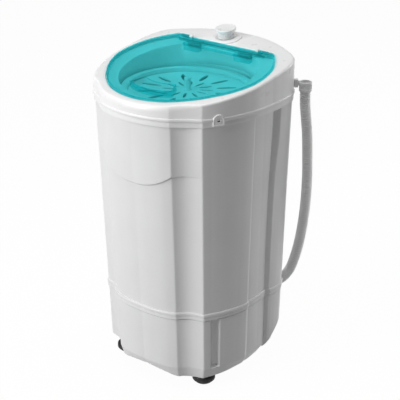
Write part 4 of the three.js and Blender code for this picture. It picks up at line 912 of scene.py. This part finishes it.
def makeMarks(sizes):
    values = {
        "Marks": sizes["marks"], "Reach": sizes["markReach"] * mm, "Long": sizes["markLong"] * mm,
        "Wide": sizes["markWide"] * mm, "Finish": finishes["mark"],
    }
    mesh = shapedMesh("dialMarks", markTree(values), values)
    place, _ = atKnob((np.array([v.co for v in mesh.vertices]) / mm + np.array([0, 0, sizes["markRise"]]), None))
    mesh.vertices.foreach_set("co", (place * mm).ravel())
    return meshPiece("dialMarks", mesh, "mark", 30)


fitTo(makeKnob(knobSizes), "knob", "cover_plastic", "timer_knob")
fitTo(makeBezel(bezelSizes), "root", "cover_plastic", "timer_bezel")
fitTo(makeMarks(bezelSizes), "root", "black_plastic")
print("knob and bezel made")

# pressing disc and its grip
discSizes = {  # inner and outer rows of leaves: from, to, width
    "radius": 106.4, "bottom": 534.0, "thick": 3.0, "leaves": 12,
    "inner": (20.0, 47.0, 5.4), "outer": (52.0, 92.0, 9.0),
}


def leafTree(values):
    tree, given = newTree("leafDisc", values)
    loops = [circleOf(tree, 120, given["Radius"])]
    number, pitch = geo(tree, "InputIndex"), mathOf(tree, "DIVIDE", 2 * math.pi, given["Leaves"])
    points = geo(tree, "MeshLine", {"Count": given["Leaves"], "Offset": (0, 0, 0)})
    for row, shift in (("Inner", 0.0), ("Outer", 0.5)):
        near, far = given[row + " from"], given[row + " to"]
        length = mathOf(tree, "SUBTRACT", far, near)
        middle = mathOf(tree, "MULTIPLY", mathOf(tree, "ADD", far, near), -0.5)
        leaf = geo(tree, "Transform", {
            "Geometry": circleOf(tree, 18, 0.5), "Translation": vectorOf(tree, Y=middle),
            "Scale": vectorOf(tree, X=given[row + " width"], Y=length, Z=1.0),
        })
        turn = mathOf(tree, "MULTIPLY", mathOf(tree, "ADD", number, shift), pitch)
        ring = geo(tree, "InstanceOnPoints", {"Points": points, "Instance": leaf, "Rotation": vectorOf(tree, Z=turn)})
        loops.append(geo(tree, "RealizeInstances", {"Geometry": ring}))
    face = geo(tree, "FillCurve", {"Curve": joinOf(tree, loops)})
    thick = {"Mesh": face, "Offset": (0, 0, 1), "Offset Scale": given["Thickness"], "Individual": False}
    both = joinOf(tree, [geo(tree, "ExtrudeMesh", thick), geo(tree, "FlipFaces", {"Mesh": face})])
    return closeTree(tree, geo(tree, "MergeByDistance", {"Geometry": both, "Distance": 1e-6}), given["Finish"])


def makeDisc(sizes):
    values = {
        "Radius": sizes["radius"] * mm, "Thickness": sizes["thick"] * mm, "Leaves": sizes["leaves"],
        "Finish": finishes["inner"],
    }
    for row in ("inner", "outer"):
        for part, size in zip(("from", "to", "width"), sizes[row]):
            values[f"{row.capitalize()} {part}"] = size * mm
    mesh = shapedMesh("disc", leafTree(values), values)
    mesh.transform(Matrix.Translation((0, 0, sizes["bottom"] * mm)))
    return meshPiece("pressDisc", turnedOutwards(mesh), "inner", 30)


pressDisc = fitTo(makeDisc(discSizes), "pressing_disc", "inner_plastic", "press_disc")
gripSizes = {"radius": 6.5, "bottom": 537.3, "top": 560.0}


def makeGrip(sizes):
    r, low, high = pick(sizes, "radius bottom top")
    body = turnedSkin([
        (0, low), (r, low), (r, low + 1.5), (r - 1.2, low + 2.6), (r - 1.5, high - 7), (r - 0.6, high - 5.4),
        (r, high - 4), (r, high - 1.5), (r - 0.7, high - 0.4), (r - 2, high), (0, high),
    ], 48)
    fin = softBlock((1.4, r - 1.2, high - low - 9), (0, -(r - 1.2) / 2 - 0.6, (low + high) / 2 - 2), 0.3)
    return pieceOf("discGrip", [body, *[moved(fin, turn=turn) for turn in range(0, 360, 60)]], "inner", 35)


fitTo(makeGrip(gripSizes), "pressing_disc", "inner_plastic", "disc_grip")
print("disc made", len(pressDisc.data.polygons))

# basket, ring and tub
basketSizes = {"radius": 118.0, "bottom": 150.0, "top": 523.7, "wall": 1.2, "across": 72, "rows": 36, "hole": 3.0}


def perforatedTree(values):
    tree, given = newTree("perforatedWall", values)
    radius, height = given["Radius"], given["Height"]
    girth = mathOf(tree, "MULTIPLY", radius, 2 * math.pi)
    wide, tall = mathOf(tree, "DIVIDE", girth, given["Across"]), mathOf(tree, "DIVIDE", height, given["Rows"])
    square = geo(tree, "CurvePrimitiveQuadrilateral", {"Width": wide, "Height": tall})
    tile = geo(tree, "FillCurve", {"Curve": joinOf(tree, [square, circleOf(tree, 10, given["Hole"])])})
    grid = geo(tree, "MeshGrid", {
        "Size X": mathOf(tree, "SUBTRACT", girth, wide), "Size Y": mathOf(tree, "SUBTRACT", height, tall),
        "Vertices X": given["Across"], "Vertices Y": given["Rows"],
    })
    tiles = geo(tree, "InstanceOnPoints", {"Points": grid, "Instance": tile})
    sheet = geo(tree, "RealizeInstances", {"Geometry": tiles})
    place = addNode(tree, "ShaderNodeSeparateXYZ", {0: geo(tree, "InputPosition")})
    turn = mathOf(tree, "DIVIDE", place.outputs["X"], radius)
    x, y = (mathOf(tree, "MULTIPLY", mathOf(tree, wave, turn), radius) for wave in ("SINE", "COSINE"))
    bent = vectorOf(tree, X=x, Y=mathOf(tree, "MULTIPLY", y, -1.0), Z=place.outputs["Y"])
    wall = geo(tree, "SetPosition", {"Geometry": sheet, "Position": bent})
    return closeTree(tree, geo(tree, "MergeByDistance", {"Geometry": wall, "Distance": 2e-5}), given["Finish"])


def makeBasket(sizes):
    r, b, top = pick(sizes, "radius bottom top")
    low = b + 8
    values = {
        "Radius": (r - 0.05) * mm, "Height": (top - low) * mm, "Across": sizes["across"], "Rows": sizes["rows"],
        "Hole": sizes["hole"] * mm, "Finish": finishes["steel"],
    }
    mesh = shapedMesh("wall", perforatedTree(values), values)
    with edited(mesh) as work:
        for vertex in work.verts:
            vertex.co.z += (low + top) / 2 * mm
        if sum(f.normal.xy.dot(f.calc_center_median().xy) for f in work.faces) < 0:
            bmesh.ops.reverse_faces(work, faces=work.faces)
        bmesh.ops.solidify(work, geom=work.faces[:], thickness=sizes["wall"] * mm)
    wall = meshPiece("basketWall", turnedOutwards(mesh), "steel", 40)
    floor = turnedSkin([
        (6.3, b + 14), (28, b + 14), (45, b), (r - 6, b), (r - 2.2, b + 1.8), (r - 0.4, b + 5), (r, b + 8), (r, b + 9),
        (r - 1.2, b + 9), (r - 1.6, b + 6), (r - 3.2, b + 3.2), (r - 7, b + 1.4), (46, b + 1.4), (29, b + 15.4),
        (6.3, b + 15.4),
    ], 120)
    return wall, pieceOf("basketFloor", [floor], "steel", 30)


basketWall, basketFloor = makeBasket(basketSizes)
fitTo(basketWall, "spinner", "steel", "basket")
fitTo(basketFloor, "spinner", "steel")
print("basket made", len(basketWall.data.polygons))

ringSizes = {"outer": 120.0, "inner": 108.0, "lip": 102.0, "bottom": 524.0, "top": 545.0, "lipTop": 533.7}


def makeRing(sizes):
    outer, inner, lip, low, high, seat = pick(sizes, "outer inner lip bottom top lipTop")
    return pieceOf("balanceRing", [turnedSkin([
        (lip, low), (outer - 0.8, low), (outer, low + 0.8), (outer, high - 3), (outer - 0.8, high - 1),
        (outer - 2.6, high), (inner + 2.6, high), (inner + 0.8, high - 0.8), (inner, high - 2.6),
        (inner, seat + 0.8), (inner - 0.8, seat), (lip + 0.6, seat), (lip, seat - 0.6),
    ], 160)], "inner", 30)


fitTo(makeRing(ringSizes), "spinner", "inner_plastic", "balance_ring")

tubSizes = {"radius": 128.0, "wall": 2.5, "bottom": 138.0, "top": 520.0, "flange": 150.0, "hole": 34.0}


def makeTub(sizes):
    r, low, high, w, flange, hole = pick(sizes, "radius bottom top wall flange hole")
    return pieceOf("waterTub", [turnedSkin([
        (hole, low), (r - 6, low), (r - 1.8, low + 1.8), (r, low + 6), (r, high - 7), (r + 1.2, high - 4.6),
        (flange - 0.6, high - 4), (flange, high - 3.4), (flange, high - 0.5), (flange - 0.5, high), (r - w, high),
        (r - w, low + w + 5), (r - w - 1.5, low + w + 1.5), (r - w - 5, low + w), (hole, low + w),
    ], 128)], "inner", 30)


fitTo(makeTub(tubSizes), "root", "inner_plastic", "tub")
print("tub and ring made")

# feet
footSizes = {"front": (93.8, -71.0), "rear": (85.0, 80.0), "sole": 8.0, "radius": 21.4, "stem": 13.0, "top": 43.7}


def makeFoot(name, x, y, sizes):
    sole, radius, stem, top = pick(sizes, "sole radius stem top")
    body = turnedSkin([
        (0, 1.2), (3.5, 1.2), (4.5, 0.2), (6.0, 0), (sole, 0), (12, 2.1), (16, 4.8), (19, 7.8), (20.7, 9.6),
        (radius, 11.1), (radius, 15), (21, 18), (18.6, 20.6), (15.5, 22.5), (stem, 25.5), (stem, top), (0, top),
    ], 72)
    return pieceOf(name, [moved(body, (x, y, 0))], "rubber", 40)


for row in ("front", "rear"):
    for hand, side in (("left", -1), ("right", 1)):
        x, y = footSizes[row]
        foot = makeFoot(f"foot{row.title()}{hand.title()}", side * x, y, footSizes)
        fitTo(foot, "root", "black_rubber", f"foot_{row}_{hand}")
print("feet made")

# suspension springs
springSizes = {"radius": 9.6, "wire": 1.35, "turns": 6.5, "bottom": 52.6, "top": 111.8, "circle": 90.0}


def coilTree(values):
    tree, given = newTree("coilSpring", values)
    line = geo(tree, "CurveSpiral", {
        "Resolution": 28, "Rotations": given["Turns"], "Start Radius": given["Radius"], "End Radius": given["Radius"],
        "Height": given["Height"],
    })
    ring = circleOf(tree, 10, given["Wire"])
    wire = geo(tree, "CurveToMesh", {"Curve": line, "Profile Curve": ring, "Fill Caps": True})
    return closeTree(tree, wire, given["Finish"])


def makeSprings(sizes):
    radius, wire, low, circle = pick(sizes, "radius wire bottom circle")
    values = {
        "Radius": radius * mm, "Wire": wire * mm, "Turns": sizes["turns"],
        "Height": (sizes["top"] - low - 2 * wire) * mm, "Finish": finishes["steel"],
    }
    tree = coilTree(values)
    for number, turn in enumerate((0, 120, 240)):
        mesh, a = shapedMesh("coil", tree, values), math.radians(turn)
        shift = Vector((circle * math.sin(a), -circle * math.cos(a), low + wire)) * mm
        for vertex in mesh.vertices:
            vertex.co += shift
        coil = meshPiece(f"coilSpring{number + 1}", turnedOutwards(cleanMesh(mesh, 1e-7)), "steel", 60)
        fitTo(coil, "root", "steel", f"suspension_spring_{number + 1}")


makeSprings(springSizes)
print("springs made")

# finishes of the CAD nodes that stay as they are
nodeFinishes = {
    "darkSteel": ["base_plate", "motor_bracket", "brake_lever", "motor_body", "capacitor"],
    "inner": ["drain_elbow", "basket_hub"],
    "blackPlastic": [
        "cord_gland", "spring_cup_1", "spring_cup_2", "spring_cup_3", "switch_body", "switch_lever", "timer_body",
    ],
    "steel": [
        "capacitor_strap", "brake_pin", "drive_shaft", "hub_nut", "hinge_pin_left", "hinge_pin_right", "timer_shaft",
    ],
    "greyRubber": ["shaft_bellows"],
    "rubber": ["brake_pad"],
    "castIron": ["bearing_sleeve", "brake_drum"],
}
for finish, names in nodeFinishes.items():
    for name in names:
        nodes[name].data.materials.clear()
        nodes[name].data.materials.append(finishes[finish])
print("nodes painted")

# floor, world and lamps
worldStrength = 0.12
lamps = {  # azimuth, elevation, distance, size, power
    "keySoftbox": (-22, 22, 2.6, (1.5, 1.7), 52.0),
    "topSoftbox": (-24, 88, 2.4, (1.8, 1.8), 32.0),
    "rearSoftbox": (156, 18, 2.6, (0.9, 1.6), 20.0),
    "hoseStrip": (118, 0, 0.41, (0.05, 0.5), 0.09),
}


def seenBy(tree, *kinds):
    rays = addNode(tree, "ShaderNodeLightPath")
    seen = rays.outputs["Is Camera Ray"]
    for kind in kinds:
        seen = mathOf(tree, "MAXIMUM", seen, rays.outputs[f"Is {kind} Ray"])
    return seen


def makeFloor():
    mesh = bpy.data.meshes.new("floor")
    mesh.from_pydata([(-6, -6, 0), (6, -6, 0), (6, 6, 0), (-6, 6, 0)], [], [(0, 1, 2, 3)])
    floor = bpy.data.objects.new("floor", mesh)
    scene.collection.objects.link(floor)
    material, tree, shader = newMaterial("paleFloor")
    glow = addNode(tree, "ShaderNodeEmission", {"Color": (1, 1, 1, 1), "Strength": 1.0})
    seen = seenBy(tree, "Glossy", "Transmission")
    feed(tree, shader, {"Roughness": 0.9, "Base Color": blendOf(tree, seen, (0.36, 0.36, 0.36), (0.92, 0.92, 0.92))})
    mixShaders(tree, tree.nodes["Material Output"], mathOf(tree, "MULTIPLY", seen, 0.97), shader, glow)
    mesh.materials.append(material)


def makeWorld(strength):
    world = bpy.data.worlds.new("studio")
    scene.world = world
    world.use_nodes = True
    tree = world.node_tree
    tree.nodes.clear()
    soft, white = (
        addNode(tree, "ShaderNodeBackground", {"Color": (1, 1, 1, 1), "Strength": glow}) for glow in (strength, 1.0)
    )
    mixShaders(tree, tree.nodes.new("ShaderNodeOutputWorld"), seenBy(tree, "Transmission"), soft, white)


def makeLamp(name, azimuth, elevation, distance, size, power):
    data = bpy.data.lights.new(name, "AREA")
    data.shape, data.energy = "RECTANGLE", power
    data.size, data.size_y = size
    aimed(name, data, (0, 0, 0.33), azimuth, elevation, distance).visible_camera = False


makeFloor()
makeWorld(worldStrength)
for name, settings in lamps.items():
    makeLamp(name, *settings)
print("lights placed")
